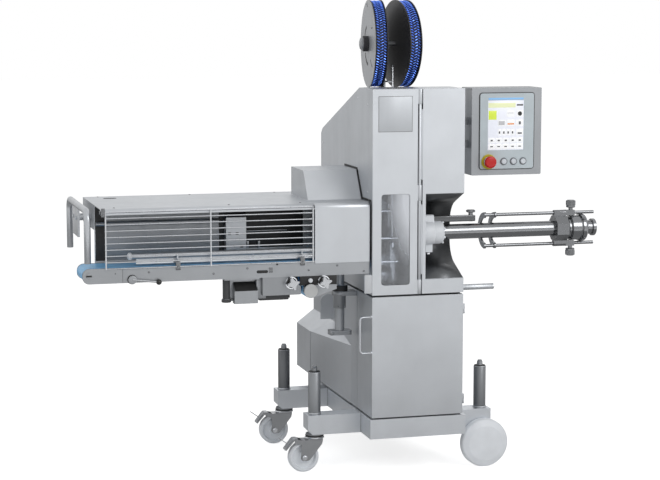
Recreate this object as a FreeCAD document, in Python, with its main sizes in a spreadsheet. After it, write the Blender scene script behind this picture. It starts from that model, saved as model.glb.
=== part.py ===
import FreeCAD, Part
import math
import os

import Sketcher
from FreeCAD import Placement, Rotation, Vector

# Sausage clipper with discharge conveyor. X runs along the product line, from the conveyor's
# tail at the left to the horn's inlet at the right. Y runs from the operator's side to the back.
# Z is up and the floor is z = 0. All lengths are in millimetres.

SIZES = [
    ("sheet", "4", "wall of the housings"),
    ("gap", "3", "gap between a door and its frame"),
    ("fit", "0.05", "radial clearance of a running fit"),
    ("seat", "0.3", "clearance between a turning piece and its seat"),
    # Base frame
    ("tube", "80", "side of the square tube"),
    ("tube_wall", "4", "wall of the square tube"),
    ("plinth_left", "72", "left face of the plinth"),
    ("plinth_right", "476", "right face of the plinth"),
    ("plinth_front", "-466", "front face of the plinth"),
    ("plinth_back", "466", "back face of the plinth"),
    ("frame_bottom", "157", "underside of the tubes above the floor"),
    ("left_arm_end", "-151", "end of the two left arms"),
    ("right_arm_end", "617", "end of the two right arms"),
    ("post_radius", "25", "jack tube"),
    ("post_top", "411", "top of the jack tubes"),
    ("spindle_radius", "12", "jack spindle"),
    ("spindle_top", "431", "top of the jack spindles"),
    ("castor_x", "-114", "swivel axis of the castors"),
    ("front_castor_y", "-288", "swivel axis of the front castor"),
    ("rear_castor_y", "230", "swivel axis of the rear castor"),
    ("fixed_x", "581", "axle of the fixed wheels"),
    ("front_fixed_y", "-338", "middle of the front right arm"),
    # Castors and wheels
    ("castor_radius", "62.5", "castor wheel"),
    ("castor_half_width", "19", "half the width of the castor wheel"),
    ("castor_trail", "48", "axle behind the swivel axis"),
    ("castor_pin", "6", "castor axle"),
    ("fork_sheet", "4", "fork leg"),
    ("fork_bottom", "130", "underside of the fork's crown"),
    ("swivel_radius", "8", "swivel pin"),
    ("flange_radius", "36", "swivel flange and crown"),
    ("flange_height", "12", "swivel flange"),
    ("pedal_x", "-80", "pedal pivot from the swivel axis"),
    ("pedal_z", "132", "pedal pivot above the floor"),
    ("wheel_radius", "100", "fixed wheel"),
    ("wheel_width", "45", "fixed wheel"),
    ("axle_radius", "10", "axle of a fixed wheel"),
    # Lower cabinet
    ("cabinet_left", "80", "left side of both housings"),
    ("cabinet_right", "464", "right side of both housings"),
    ("cabinet_front", "-460", "front of both housings"),
    ("cabinet_back", "460", "back of the lower cabinet"),
    ("cabinet_bottom", "242", "underside of the lower cabinet"),
    ("cabinet_top", "733", "top of the lower cabinet"),
    ("lower_return", "216", "side flange of the lower door"),
    ("lug_left", "20", "arched lug on the left side"),
    ("lug_y", "113", "arched lug on the left side"),
    ("lug_low", "556", "arched lug on the left side"),
    ("lug_high", "663", "arched lug on the left side"),
    ("bulge_wall", "3", "outer face of the drive bulge"),
    ("bulge_start", "-156", "where the bulge leaves the side"),
    ("bulge_full", "223", "where the bulge reaches its full depth"),
    ("bulge_low", "296", "lower edge of the bulge wall"),
    ("bulge_high", "486", "upper edge of the bulge wall"),
    ("bulge_roof", "545", "where the bulge roof meets the side"),
    ("bulge_roof_start", "109", "where the roof's front edge meets the side"),
    ("handle_radius", "4.5", "lower door handle"),
    ("handle_reach", "47.5", "handle from the side face"),
    ("handle_low", "507", "lower leg of the handle"),
    ("handle_high", "653", "upper leg of the handle"),
    ("knuckle_radius", "4", "lower door hinge"),
    ("knuckle_length", "20", "half a lower door hinge"),
    # Upper housing
    ("tower_bottom", "741", "underside of the upper housing"),
    ("tower_top", "1562", "top of the upper housing"),
    ("roof_break", "-267", "where the roof starts to slope"),
    ("roof_end", "305", "end of the roof slope"),
    ("roof_end_z", "1363", "height of the end of the roof slope"),
    ("tower_back", "330", "back of the upper housing"),
    ("back_top", "1340", "top of the back wall"),
    ("floor_plate", "10", "machine floor plate"),
    ("upper_return", "50", "side flange of the upper door"),
    ("hinge_x", "277", "upper door hinge tube"),
    ("hinge_inset", "5", "hinge tube behind the front face"),
    ("hinge_radius", "7", "upper door hinge tube"),
    ("hinge_knuckle", "9.5", "upper door hinge knuckle"),
    ("panel_left", "288", "left edge of the right front panel"),
    ("window_left", "117", "window of the upper door"),
    ("window_right", "236", "window of the upper door"),
    ("window_low", "780", "window of the upper door"),
    ("window_high", "1145", "window of the upper door"),
    ("outlet_low", "900", "product outlet in the left side"),
    ("outlet_high", "1050", "product outlet in the left side"),
    ("outlet_back", "-290", "product outlet in the left side"),
    ("scoop_left", "302", "left wall of the scoop"),
    ("scoop_back", "-284", "back of the scoop"),
    ("scoop_top", "1144", "upper edge of the scoop at the front"),
    ("scoop_low", "798", "lower edge of the scoop at the front"),
    ("scoop_rise", "72", "how far the scoop narrows towards its back, above and below"),
    ("scoop_radius", "100", "round at the back of the scoop"),
    ("docking_radius", "12", "docking bar"),
    ("docking_y", "-405", "docking bar"),
    ("docking_z", "752", "docking bar"),
    ("docking_length", "143", "docking bar from the side face"),
    ("docking_relief", "3", "undercut at the root of the docking bar"),
    ("docking_neck", "10", "undercut at the root of the docking bar"),
    # Closing mechanism
    ("line_y", "-360", "product line"),
    ("line_z", "976", "product line"),
    ("guide_radius", "10", "guide post"),
    ("guide_x", "165", "middle of the guide posts"),
    ("guide_spread", "35", "guide post from the middle"),
    ("guide_y", "-310", "guide posts"),
    ("guide_top", "1235", "top of the guide posts"),
    ("slide_half", "57", "half the width of a slide block"),
    ("slide_depth", "20", "half the depth of a slide block"),
    ("slide_height", "40", "slide block"),
    # Clip supply
    ("reel_y", "-175", "reel axis"),
    ("reel_z", "1735", "reel axis"),
    ("reel_radius", "178", "reel flange"),
    ("reel_half", "25.5", "half the width of a reel"),
    ("reel_flange", "3", "thickness of a reel flange"),
    ("reel_core", "45", "reel core"),
    ("clip_radius", "170", "outside of the clip winding"),
    ("left_reel_x", "170.5", "middle of the left reel"),
    ("right_reel_x", "282.5", "middle of the right reel"),
    ("left_toe", "-6.5", "degrees the left reel is turned"),
    ("right_toe", "4", "degrees the right reel is turned"),
    ("reel_axle", "10", "reel axle"),
    ("hub_radius", "30.5", "hub knob"),
    ("hub_length", "36", "hub knob"),
    ("mast_x", "202", "left face of the spool mast"),
    # Casing side
    ("horn_start", "245", "outlet end of the horn"),
    ("horn_end", "1070", "inlet end of the horn"),
    ("horn_radius", "31", "horn tube"),
    ("horn_bore", "26.5", "bore of the horn"),
    ("rod_offset", "63.5", "carriage rod above and below the product line"),
    ("rod_radius", "6.85", "carriage rod"),
    ("rod_start", "584", "left end of the carriage rods"),
    ("rod_end", "1066", "right end of the carriage rods"),
    ("clamp_left", "889", "horn clamp"),
    ("clamp_right", "942", "horn clamp"),
    ("clamp_half", "50", "half the size of the horn clamp"),
    ("knob_x", "965", "axis of the clamp knobs"),
    ("knob_radius", "19", "head of a clamp knob"),
    ("brake_start", "302.6", "left face of the casing brake"),
    ("brake_length", "100", "casing brake"),
    ("brake_radius", "50", "casing brake"),
    ("arm_end", "543", "end of the brake arm"),
    ("brake_knob_x", "527", "brake knob"),
    # Operator panel
    ("panel_box_left", "548", "operator panel"),
    ("panel_box_right", "852", "operator panel"),
    ("panel_box_low", "1197", "operator panel"),
    ("panel_box_high", "1555", "operator panel"),
    ("panel_box_front", "-305", "operator panel"),
    ("panel_box_back", "-175", "operator panel"),
    ("panel_margin", "35", "face plate from the side of the box"),
    ("face_low", "1223", "lower edge of the face plate"),
    ("face_high", "1533", "upper edge of the face plate"),
    ("swivel_x", "506", "swivel axis of the panel"),
    ("swivel_y", "-240", "swivel axis of the panel"),
    ("swivel_z", "1370", "middle of the swivel joint"),
    ("estop_x", "620", "emergency stop"),
    ("button_z", "1253", "row of buttons"),
    ("first_button_x", "687", "first push button"),
    ("button_pitch", "42", "push buttons"),
    # Discharge conveyor
    ("side_front", "-441", "outer face of the front side plate"),
    ("side_back", "-279", "outer face of the rear side plate"),
    ("side_low", "828", "lower edge of the side plates"),
    ("side_high", "888", "upper edge of the side plates"),
    ("conveyor_left", "-1072", "left end of the side plates"),
    ("conveyor_right", "73", "right end of the conveyor"),
    ("belt_front", "-430", "belt"),
    ("belt_back", "-290", "belt"),
    ("belt_radius", "28", "belt outside over a roller"),
    ("belt_thick", "2.5", "belt"),
    ("belt_z", "860", "middle of the belt loop"),
    ("tail_x", "-1045", "tail roller"),
    ("nose_x", "42", "nose bar at the machine end"),
    ("drive_x", "-171", "drive roller"),
    ("drive_z", "769", "drive roller"),
    ("journal", "8", "roller journal"),
    ("hood_left", "-998", "left end of the hood"),
    ("hood_right", "-152", "right end of the hood"),
    ("hood_back", "60", "back of the hood"),
    ("hood_top", "1115", "top of the hood"),
    ("hood_sheet", "3", "hood"),
    ("tunnel_back", "-259", "back wall of the product tunnel"),
    ("rear_low", "1015", "underside of the rear part of the hood"),
    ("cover_low", "877", "lower edge of the end cover"),
    ("raised_left", "-147", "raised box"),
    ("raised_right", "76", "raised box"),
    ("raised_top", "1229", "raised box"),
    ("grille_left", "-981", "left upright of the grille"),
    ("grille_right", "-160", "right upright of the grille"),
    ("grille_wire", "2.5", "grille rod"),
    ("grille_y", "-445", "plane of the grille"),
    ("grille_hinge_z", "1104", "top rod of the grille"),
    ("grille_pitch", "24.3", "spacing of the grille rods"),
    ("bow_x", "-1050", "end bow"),
    ("bow_tube", "13", "tube of the end bow"),
    ("bow_front", "-435", "front leg of the end bow"),
    ("bow_back", "78", "rear leg of the end bow"),
    ("bow_low", "910", "lower end of the bow"),
    ("bow_high", "1108", "middle of the bow's top tube"),
    ("guide_tube_radius", "11.5", "product guide"),
    ("guide_tube_y", "-415", "product guide"),
    ("guide_tube_z", "928", "product guide"),
    ("guide_tube_left", "-884", "product guide"),
    ("mast_radius", "19.5", "lifting mast"),
    ("mast_centre_x", "16", "lifting mast"),
    ("mast_centre_y", "-205", "lifting mast"),
    ("mast_low", "546", "lower end of the lifting mast"),
    ("bracket_top", "727", "top of the column bracket"),
    ("knob_low_z", "804", "star knobs"),
    ("star_radius", "31.5", "star knob"),
    ("star_front", "-480", "front of the star knobs"),
    ("lever_x", "-880", "tension lever hub"),
    ("lever_z", "841", "tension lever hub"),
    ("slot_left", "-388", "slot in the front side plate"),
    ("slot_right", "-342", "slot in the front side plate"),
    ("stop_left", "-476", "guide block in the tunnel"),
    ("stop_right", "-394", "guide block in the tunnel"),
    ("stop_low", "923", "guide block in the tunnel"),
    ("stop_high", "1052", "guide block in the tunnel"),
    ("bow_plate_front", "-197", "plate in the end bow"),
    ("bow_plate_back", "-52", "plate in the end bow"),
    ("terminal_left", "-473", "terminal box"),
    ("terminal_right", "-379", "terminal box"),
    ("terminal_front", "-425", "terminal box"),
    ("terminal_back", "-388", "terminal box"),
    ("terminal_low", "725", "underside of the terminal box"),
    ("drive_low", "755", "underside of the drive housing"),
    ("post_x", "-501", "post beside the terminal box"),
    ("post_y", "-398", "post beside the terminal box"),
]


class Size:
    """A length, held together with the sheet expression that gives it."""

    def __init__(self, value, text):
        self.value = float(value)
        self.text = text

    def __add__(self, other):
        return Size(self.value + number(other), f"({self.text} + {text(other)})")

    def __sub__(self, other):
        return Size(self.value - number(other), f"({self.text} - {text(other)})")

    def __mul__(self, other):
        return Size(self.value * number(other), f"({self.text} * {text(other)})")

    def __truediv__(self, other):
        return Size(self.value / number(other), f"({self.text} / {text(other)})")

    def __rsub__(self, other):
        return Size(number(other) - self.value, f"({text(other)} - {self.text})")

    def __neg__(self):
        return 0 - self

    __radd__ = __add__
    __rmul__ = __mul__


def number(size):
    return size.value if isinstance(size, Size) else float(size)


def text(size):
    return size.text if isinstance(size, Size) else f"({float(size):.6f})"


doc = FreeCAD.newDocument("sausage_clipper")
sheet = doc.addObject("Spreadsheet::Sheet", "sizes")
for row, (alias, amount, meaning) in enumerate(SIZES, start=1):
    sheet.set(f"A{row}", alias)
    sheet.set(f"B{row}", amount)
    sheet.set(f"C{row}", meaning)
    sheet.setAlias(f"B{row}", alias)
doc.recompute()


class Dimensions:
    """The sheet's cells by name."""

    def __getattr__(self, alias):
        return Size(sheet.get(alias), f"sizes.{alias}")


d = Dimensions()
nodes = []

ALONG = {"x": Rotation(Vector(0, 1, 0), 90), "y": Rotation(Vector(1, 0, 0), -90), "z": Rotation()}
TURNED = {
    "x": Rotation(),
    "y": Rotation(Vector(0, 0, 1), 90),
    "-y": Rotation(Vector(0, 0, 1), -90),
    "z": Rotation(Vector(0, 1, 0), -90),
}
PLANES = {"x": "YZ_Plane", "y": "XZ_Plane", "z": "XY_Plane"}


def bind(item, path, size):
    item.setExpression(path, text(size))


def place(item, position, rotation=Rotation()):
    item.Placement = Placement(Vector(), rotation)
    for letter, size in zip("xyz", position):
        bind(item, f"Placement.Base.{letter}", size)
    return item


def block(name, x, y, z):
    """A box between two limits in each direction."""
    item = doc.addObject("Part::Box", name)
    for side, (low, high) in zip(("Length", "Width", "Height"), (x, y, z)):
        bind(item, side, high - low)
    return place(item, (x[0], y[0], z[0]))


def rod(name, axis, radius, start, length):
    """A cylinder that runs from start along one axis."""
    item = doc.addObject("Part::Cylinder", name)
    bind(item, "Radius", radius)
    bind(item, "Height", length)
    return place(item, start, ALONG[axis])


def joined(name, *items):
    item = doc.addObject("Part::MultiFuse", name)
    item.Shapes = list(items)
    return item


def cut(name, base, *tools):
    item = doc.addObject("Part::Cut", name)
    item.Base = base
    item.Tool = tools[0] if len(tools) == 1 else joined(name + "_tools", *tools)
    return item


def common(name, first, second):
    item = doc.addObject("Part::MultiCommon", name)
    item.Shapes = [first, second]
    return item


def shaped(name, shape):
    item = doc.addObject("Part::Feature", name)
    item.Shape = shape
    return item


def new_sketch(body, axis, level):
    """A sketch square to one axis, at a level along it."""
    sketch = body.newObject("Sketcher::SketchObject", body.Name + "_sketch")
    plane = next(f for f in body.Origin.OriginFeatures if f.Role == PLANES[axis])
    sketch.AttachmentSupport = [(plane, "")]
    sketch.MapMode = "FlatFace"
    bind(sketch, "AttachmentOffset.Base.z", -level if axis == "y" else level)
    return sketch


def fix_point(sketch, geometry, position, u, v):
    for kind, size in (("DistanceX", u), ("DistanceY", v)):
        index = sketch.addConstraint(Sketcher.Constraint(kind, -1, 1, geometry, position, number(size)))
        bind(sketch, f"Constraints[{index}]", size)


def outline(sketch, corners):
    """A closed outline of straight lines; a corner with a third number is rounded by it."""
    points = [Vector(number(c[0]), number(c[1]), 0) for c in corners]
    radii = [number(c[2]) if len(c) > 2 else 0.0 for c in corners]
    count = len(points)
    ends = []
    for i, point in enumerate(points):
        back = (points[i - 1] - point).normalize()
        ahead = (points[(i + 1) % count] - point).normalize()
        half = back.getAngle(ahead) / 2
        reach = radii[i] / math.tan(half) if radii[i] else 0.0
        middle = (back + ahead).normalize() if radii[i] else Vector()
        centre = point + middle * (radii[i] / math.sin(half))
        ends.append((point + back * reach, point + ahead * reach, centre))
    lines = []
    for i in range(count):
        segment = Part.LineSegment(ends[i][1], ends[(i + 1) % count][0])
        lines.append(sketch.addGeometry(segment, False))
    for i, corner in enumerate(corners):
        before, after = lines[i - 1], lines[i]
        if not radii[i]:
            sketch.addConstraint(Sketcher.Constraint("Coincident", before, 2, after, 1))
            fix_point(sketch, after, 1, corner[0], corner[1])
            continue
        start, end, centre = ends[i]
        first = math.atan2(start.y - centre.y, start.x - centre.x)
        last = math.atan2(end.y - centre.y, end.x - centre.x)
        turns_left = (start - centre).cross(end - centre).z > 0
        circle = Part.Circle(centre, Vector(0, 0, 1), radii[i])
        arc = Part.ArcOfCircle(circle, first, last) if turns_left else Part.ArcOfCircle(circle, last, first)
        curve = sketch.addGeometry(arc, False)
        entry, leave = (1, 2) if turns_left else (2, 1)
        sketch.addConstraint(Sketcher.Constraint("Tangent", before, 2, curve, entry))
        sketch.addConstraint(Sketcher.Constraint("Tangent", curve, leave, after, 1))
        index = sketch.addConstraint(Sketcher.Constraint("Radius", curve, radii[i]))
        bind(sketch, f"Constraints[{index}]", corner[2])
        tip = sketch.addGeometry(Part.Point(points[i]), True)
        sketch.addConstraint(Sketcher.Constraint("PointOnObject", tip, 1, before))
        sketch.addConstraint(Sketcher.Constraint("PointOnObject", tip, 1, after))
        fix_point(sketch, tip, 1, corner[0], corner[1])


def circle(sketch, u, v, radius):
    centre = Vector(number(u), number(v), 0)
    index = sketch.addGeometry(Part.Circle(centre, Vector(0, 0, 1), number(radius)), False)
    fix_point(sketch, index, 3, u, v)
    constraint = sketch.addConstraint(Sketcher.Constraint("Radius", index, number(radius)))
    bind(sketch, f"Constraints[{constraint}]", radius)


def add_pad(body, axis, span, corners, loops=(), holes=()):
    """Pads an outline between two levels along one axis, less its loops and round holes."""
    low, high = span
    sketch = new_sketch(body, axis, high if axis == "y" else low)
    outline(sketch, corners)
    for loop in loops:
        outline(sketch, loop)
    for u, v, radius in holes:
        circle(sketch, u, v, radius)
    pad = body.newObject("PartDesign::Pad", body.Name + "_pad")
    pad.Profile = sketch
    bind(pad, "Length", high - low)
    body.Tip = pad


def plate(name, axis, span, corners, loops=(), holes=()):
    body = doc.addObject("PartDesign::Body", name)
    add_pad(body, axis, span, corners, loops, holes)
    return body


def chamfered(corners):
    """The corners with each third number made into a chamfer; a fourth number stays a round."""
    result = []
    for i, corner in enumerate(corners):
        if len(corner) == 4:
            result.append((corner[0], corner[1], corner[3]))
        elif len(corner) == 3:
            here = Vector(number(corner[0]), number(corner[1]), 0)
            for other in (corners[i - 1], corners[(i + 1) % len(corners)]):
                away = (Vector(number(other[0]), number(other[1]), 0) - here).normalize()
                result.append((corner[0] + corner[2] * away.x, corner[1] + corner[2] * away.y))
        else:
            result.append(corner)
    return result


def turned(name, axis, corners, centre, rotation=Rotation()):
    """A body of revolution; each corner is a place along the axis and a radius."""
    body = doc.addObject("PartDesign::Body", name)
    sketch = new_sketch(body, "y", 0)
    outline(sketch, chamfered(corners))
    revolution = body.newObject("PartDesign::Revolution", name + "_revolution")
    revolution.Profile = sketch
    revolution.ReferenceAxis = (sketch, ["H_Axis"])
    revolution.Angle = 360
    body.Tip = revolution
    return place(body, centre, rotation.multiply(TURNED[axis]))


def rectangle(u, v, radius=0):
    """The corners of a rectangle between two limits each way."""
    corners = [(u[0], v[0]), (u[1], v[0]), (u[1], v[1]), (u[0], v[1])]
    return [(a, b, radius) for a, b in corners] if number(radius) else corners


def bent_tube(name, points, radius, bend):
    """A round bar along straight runs joined by arcs of one bend radius."""
    points = [Vector(*(number(size) for size in point)) for point in points]
    bend = number(bend)
    edges = []
    start = points[0]
    for before, point, after in zip(points, points[1:], points[2:]):
        back = (before - point).normalize()
        ahead = (after - point).normalize()
        half = back.getAngle(ahead) / 2
        reach = bend / math.tan(half)
        entry, leave = point + back * reach, point + ahead * reach
        middle = point + (back + ahead).normalize() * (bend / math.sin(half) - bend)
        edges.append(Part.LineSegment(start, entry).toShape())
        edges.append(Part.Arc(entry, middle, leave).toShape())
        start = leave
    edges.append(Part.LineSegment(start, points[-1]).toShape())
    direction = (points[1] - points[0]).normalize()
    ring = Part.Wire([Part.Circle(points[0], direction, number(radius)).toShape()])
    return shaped(name, Part.Wire(edges).makePipeShell([ring], True, True))


def solid_from_faces(faces):
    """A closed solid with flat faces, each given by its corners."""
    made = []
    for corners in faces:
        wire = Part.makePolygon([Vector(*c) for c in corners + corners[:1]])
        made.append(Part.Face(wire))
    solid = Part.Solid(Part.Shell(made))
    solid.fix(1e-6, 1e-6, 1e-6)
    return solid


def finish(item):
    """Marks a sub-part, whose label names its file."""
    nodes.append(item)
    return item


def base_frame():
    """Plinth, four arms and four jack tubes, welded."""
    top = d.frame_bottom + d.tube
    inside = d.tube - d.tube_wall
    height = (d.frame_bottom, top)
    hollow = (d.frame_bottom + d.tube_wall, top - d.tube_wall)
    ring = cut(
        "plinth_ring",
        block("plinth_outer", (d.plinth_left, d.plinth_right), (d.plinth_front, d.plinth_back), height),
        block(
            "plinth_inner",
            (d.plinth_left + d.tube, d.plinth_right - d.tube),
            (d.plinth_front + d.tube, d.plinth_back - d.tube),
            (d.frame_bottom - 1, top + 1),
        ),
    )
    ring_hollow = cut(
        "plinth_hollow",
        block(
            "plinth_hollow_outer",
            (d.plinth_left + d.tube_wall, d.plinth_right - d.tube_wall),
            (d.plinth_front + d.tube_wall, d.plinth_back - d.tube_wall),
            hollow,
        ),
        block(
            "plinth_hollow_inner",
            (d.plinth_left + inside, d.plinth_right - inside),
            (d.plinth_front + inside, d.plinth_back - inside),
            height,
        ),
    )
    solids, hollows, posts, bores = [ring], [ring_hollow], [], []
    for name, x, y in jack_places():
        left = number(x) < number(d.plinth_left)
        outer = (d.left_arm_end, d.plinth_left) if left else (d.plinth_right, d.right_arm_end)
        inner = (outer[0] + d.tube_wall, outer[1]) if left else (outer[0], outer[1] - d.tube_wall)
        end, step = (outer[0], 1) if left else (outer[1], -1)
        side = (y - d.tube / 2, y + d.tube / 2)
        arm = block(name + "_arm", outer, side, height)
        chamfer = d.tube / 4
        corner = plate(
            name + "_arm_chamfer",
            "y",
            (side[0] - 1, side[1] + 1),
            [
                (end - step, d.frame_bottom - 1),
                (end + step * chamfer, d.frame_bottom - 1),
                (end - step, d.frame_bottom + chamfer),
            ],
        )
        solids.append(cut(name + "_arm_cut", arm, corner))
        arm_hollow = block(
            name + "_arm_hollow", inner, (side[0] + d.tube_wall, side[1] - d.tube_wall), hollow
        )
        inset = chamfer + d.tube_wall
        hollow_corner = plate(
            name + "_hollow_chamfer",
            "y",
            (side[0] - 1, side[1] + 1),
            [
                (end - step, d.frame_bottom - 1),
                (end + step * (inset + d.tube_wall), d.frame_bottom - 1),
                (end - step, d.frame_bottom + inset + d.tube_wall),
            ],
        )
        hollows.append(cut(name + "_hollow_cut", arm_hollow, hollow_corner))
        posts.append(
            rod(name + "_post", "z", d.post_radius, (x, y, d.frame_bottom), d.post_top - d.frame_bottom)
        )
        bores.append(
            rod(name + "_bore", "z", d.spindle_radius + d.fit, (x, y, d.frame_bottom - 1), d.post_top)
        )
    tubes = cut("frame_tubes", joined("frame_solids", *solids), *hollows)
    finish(cut("base_frame", joined("frame_welded", tubes, *posts), *bores))


def jack_places():
    """Name and axis of each jack; the arms lie evenly about one middle line."""
    sum_y = d.front_castor_y + d.rear_castor_y
    return [
        ("front_left", d.castor_x, d.front_castor_y),
        ("rear_left", d.castor_x, d.rear_castor_y),
        ("front_right", d.fixed_x, d.front_fixed_y),
        ("rear_right", d.fixed_x, sum_y - d.front_fixed_y),
    ]


def castor(name, x, y):
    """Jack spindle, swivelling fork, wheel and brake pedal of one castor."""
    flange_low = d.frame_bottom - d.flange_height
    washer = d.fork_bottom - d.seat
    washer_low = washer - 7
    finish(
        turned(
            name + "_spindle",
            "z",
            [
                (washer_low, 0),
                (washer_low, d.swivel_radius + 5),
                (washer, d.swivel_radius + 5),
                (washer, d.swivel_radius),
                (flange_low, d.swivel_radius),
                (flange_low, d.flange_radius),
                (d.frame_bottom, d.flange_radius),
                (d.frame_bottom, d.spindle_radius),
                (d.spindle_top - 3, d.spindle_radius),
                (d.spindle_top, d.spindle_radius - 3),
                (d.spindle_top, 0),
            ],
            (x, y, 0),
        )
    )
    leg_in = d.castor_half_width + 4
    leg_out = leg_in + d.fork_sheet
    axle_x = x - d.castor_trail
    pedal_x = x + d.pedal_x
    crown_top = d.fork_bottom + d.fork_sheet
    leg = [
        (x - 62, crown_top),
        (x + 30, crown_top),
        (x + 26, d.fork_bottom - 14),
        (axle_x + 20, d.castor_radius - 14, 12),
        (axle_x - 16, d.castor_radius - 14, 12),
        (axle_x - 12, d.castor_radius + 34),
        (x - 62, d.fork_bottom - 18),
    ]
    legs = []
    for side, span in (("front", (y - leg_out, y - leg_in)), ("rear", (y + leg_in, y + leg_out))):
        legs.append(plate(f"{name}_{side}_leg", "y", span, leg))
        ear = [
            (x - 58, d.fork_bottom - 14),
            (x - 58, crown_top),
            (pedal_x - 9, d.pedal_z + 9, 8),
            (pedal_x - 9, d.pedal_z - 9, 8),
        ]
        legs.append(plate(f"{name}_{side}_ear", "y", span, ear))
    crown = block(
        name + "_crown",
        (x - 58, x + 26),
        (y - leg_in, y + leg_in),
        (d.fork_bottom, crown_top),
    )
    race = rod(name + "_race", "z", d.flange_radius, (x, y, crown_top), flange_low - d.seat - crown_top)
    pin = rod(name + "_pin", "y", d.castor_pin, (axle_x, y - leg_out, d.castor_radius), leg_out * 2)
    heads = [
        rod(f"{name}_head_{i}", "y", d.castor_pin + 3, (axle_x, start, d.castor_radius), 3.5)
        for i, start in enumerate((y - leg_out - 3.5, y + leg_out))
    ]
    swivel = rod(name + "_swivel_bore", "z", d.swivel_radius + d.fit, (x, y, d.fork_bottom - 1), d.tube)
    pivots = rod(
        name + "_pedal_bore",
        "y",
        d.castor_pin - 2 + d.fit,
        (pedal_x, y - leg_out - 1, d.pedal_z),
        leg_out * 2 + 2,
    )
    whole = joined(name + "_fork_welded", crown, race, pin, *heads, *legs)
    finish(cut(name + "_fork", whole, swivel, pivots))
    w = d.castor_half_width
    r = d.castor_radius
    finish(
        turned(
            name + "_wheel",
            "y",
            [
                (-w - 2, d.castor_pin + d.fit),
                (-w - 2, 16),
                (-8, 20),
                (-8, r - 18),
                (-w, r - 12),
                (-w, r, 6),
                (w, r, 6),
                (w, r - 12),
                (8, r - 18),
                (8, 20),
                (w + 2, 16),
                (w + 2, d.castor_pin + d.fit),
            ],
            (axle_x, y, r),
        )
    )
    p, q = pedal_x, d.pedal_z
    inside = leg_in - d.seat
    foot = plate(
        name + "_pedal_plate",
        "y",
        (y - inside, y + inside),
        [
            (p + 3, q + 2),
            (p - 8, q + 2, 8),
            (p - 44, q - 39, 2),
            (p - 48, q - 36, 2),
            (p - 12, q + 9, 10),
            (p + 4, q + 9),
        ],
    )
    tube = rod(name + "_pedal_tube", "y", 6, (p, y - inside, q), inside * 2)
    pivot = rod(name + "_pedal_pin", "y", d.castor_pin - 2, (p, y - leg_out, q), leg_out * 2)
    finish(joined(name + "_pedal", foot, tube, pivot))


def fixed_wheel(name, x, y, outward, direction):
    """Axle bracket with its jack spindle, and a domed wheel beside the arm."""
    arm_face = y + outward * (d.tube / 2)
    wheel_in = arm_face + outward * 2
    plate_in = arm_face - outward * 6
    plate_out = plate_in - outward * 12
    low = min(plate_in, plate_out, key=number)
    high = max(plate_in, plate_out, key=number)
    far = y - outward * (d.tube / 2 - 8)
    foot_low = min(far, plate_in, key=number)
    foot_high = max(far, plate_in, key=number)
    half = 30
    foot_z = d.frame_bottom - d.flange_height
    spindle = turned(
        name + "_jack",
        "z",
        [
            (foot_z, 0),
            (foot_z, d.spindle_radius),
            (d.spindle_top - 3, d.spindle_radius),
            (d.spindle_top, d.spindle_radius - 3),
            (d.spindle_top, 0),
        ],
        (x, y, 0),
    )
    foot = block(name + "_foot", (x - half, x + half), (foot_low, foot_high), (foot_z, d.frame_bottom))
    cheek = plate(
        name + "_cheek",
        "y",
        (low, high),
        [
            (x - half, foot_z),
            (x + half, foot_z),
            (x + 18, d.wheel_radius - 18, 14),
            (x - 18, d.wheel_radius - 18, 14),
        ],
    )
    reach = 24
    stub = turned(
        name + "_stub",
        direction,
        [
            (0, 0),
            (0, 15),
            (6, 15),
            (8 - d.seat, 13),
            (8 - d.seat, d.axle_radius),
            (8 + reach, d.axle_radius),
            (8 + reach, 0),
        ],
        (x, plate_in, d.wheel_radius),
    )
    finish(joined(name + "_axle_bracket", spindle, foot, cheek, stub))
    width = d.wheel_width
    radius = d.wheel_radius
    finish(
        turned(
            name + "_wheel",
            direction,
            [
                (reach + 4, 0),
                (reach + 4, d.axle_radius + d.fit),
                (0, d.axle_radius + d.fit),
                (0, radius, 4),
                (width - 12, radius, 0, 12),
                (width - 2, radius * 0.72),
                (width, radius * 0.3),
                (width, 0),
            ],
            (x, wheel_in, radius),
        )
    )


def undercarriage():
    base_frame()
    places = jack_places()
    for name, x, y in places[:2]:
        castor(name, x, y)
    for (name, x, y), outward, direction in zip(places[2:], (-1, 1), ("-y", "y")):
        fixed_wheel(name, x, y, outward, direction)


def bulge(inset):
    """The flared drive bulge on the left side, made smaller all round by inset."""
    side = number(d.cabinet_left) + inset
    wall = number(d.bulge_wall) + inset
    back = number(d.cabinet_back) - inset
    start = number(d.bulge_start) + 5 * inset
    full = number(d.bulge_full) + inset
    low = number(d.cabinet_bottom) + inset
    wall_low = number(d.bulge_low) + inset / 2
    wall_high = number(d.bulge_high) - inset / 2
    roof = number(d.bulge_roof) - inset
    roof_start = number(d.bulge_roof_start) + inset
    return solid_from_faces(
        [
            [(side, start, low), (wall, full, wall_low), (wall, full, wall_high), (side, start, wall_high)],
            [(wall, full, wall_high), (side, roof_start, roof), (side, start, wall_high)],
            [(wall, full, wall_high), (wall, back, wall_high), (side, back, roof), (side, roof_start, roof)],
            [
                (wall, full, wall_low),
                (wall, back, wall_low),
                (wall, back, wall_high),
                (wall, full, wall_high),
            ],
            [(side, start, low), (side, back, low), (wall, back, wall_low), (wall, full, wall_low)],
            [(side, back, low), (side, back, roof), (wall, back, wall_high), (wall, back, wall_low)],
            [
                (side, start, low),
                (side, start, wall_high),
                (side, roof_start, roof),
                (side, back, roof),
                (side, back, low),
            ],
        ]
    )


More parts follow.
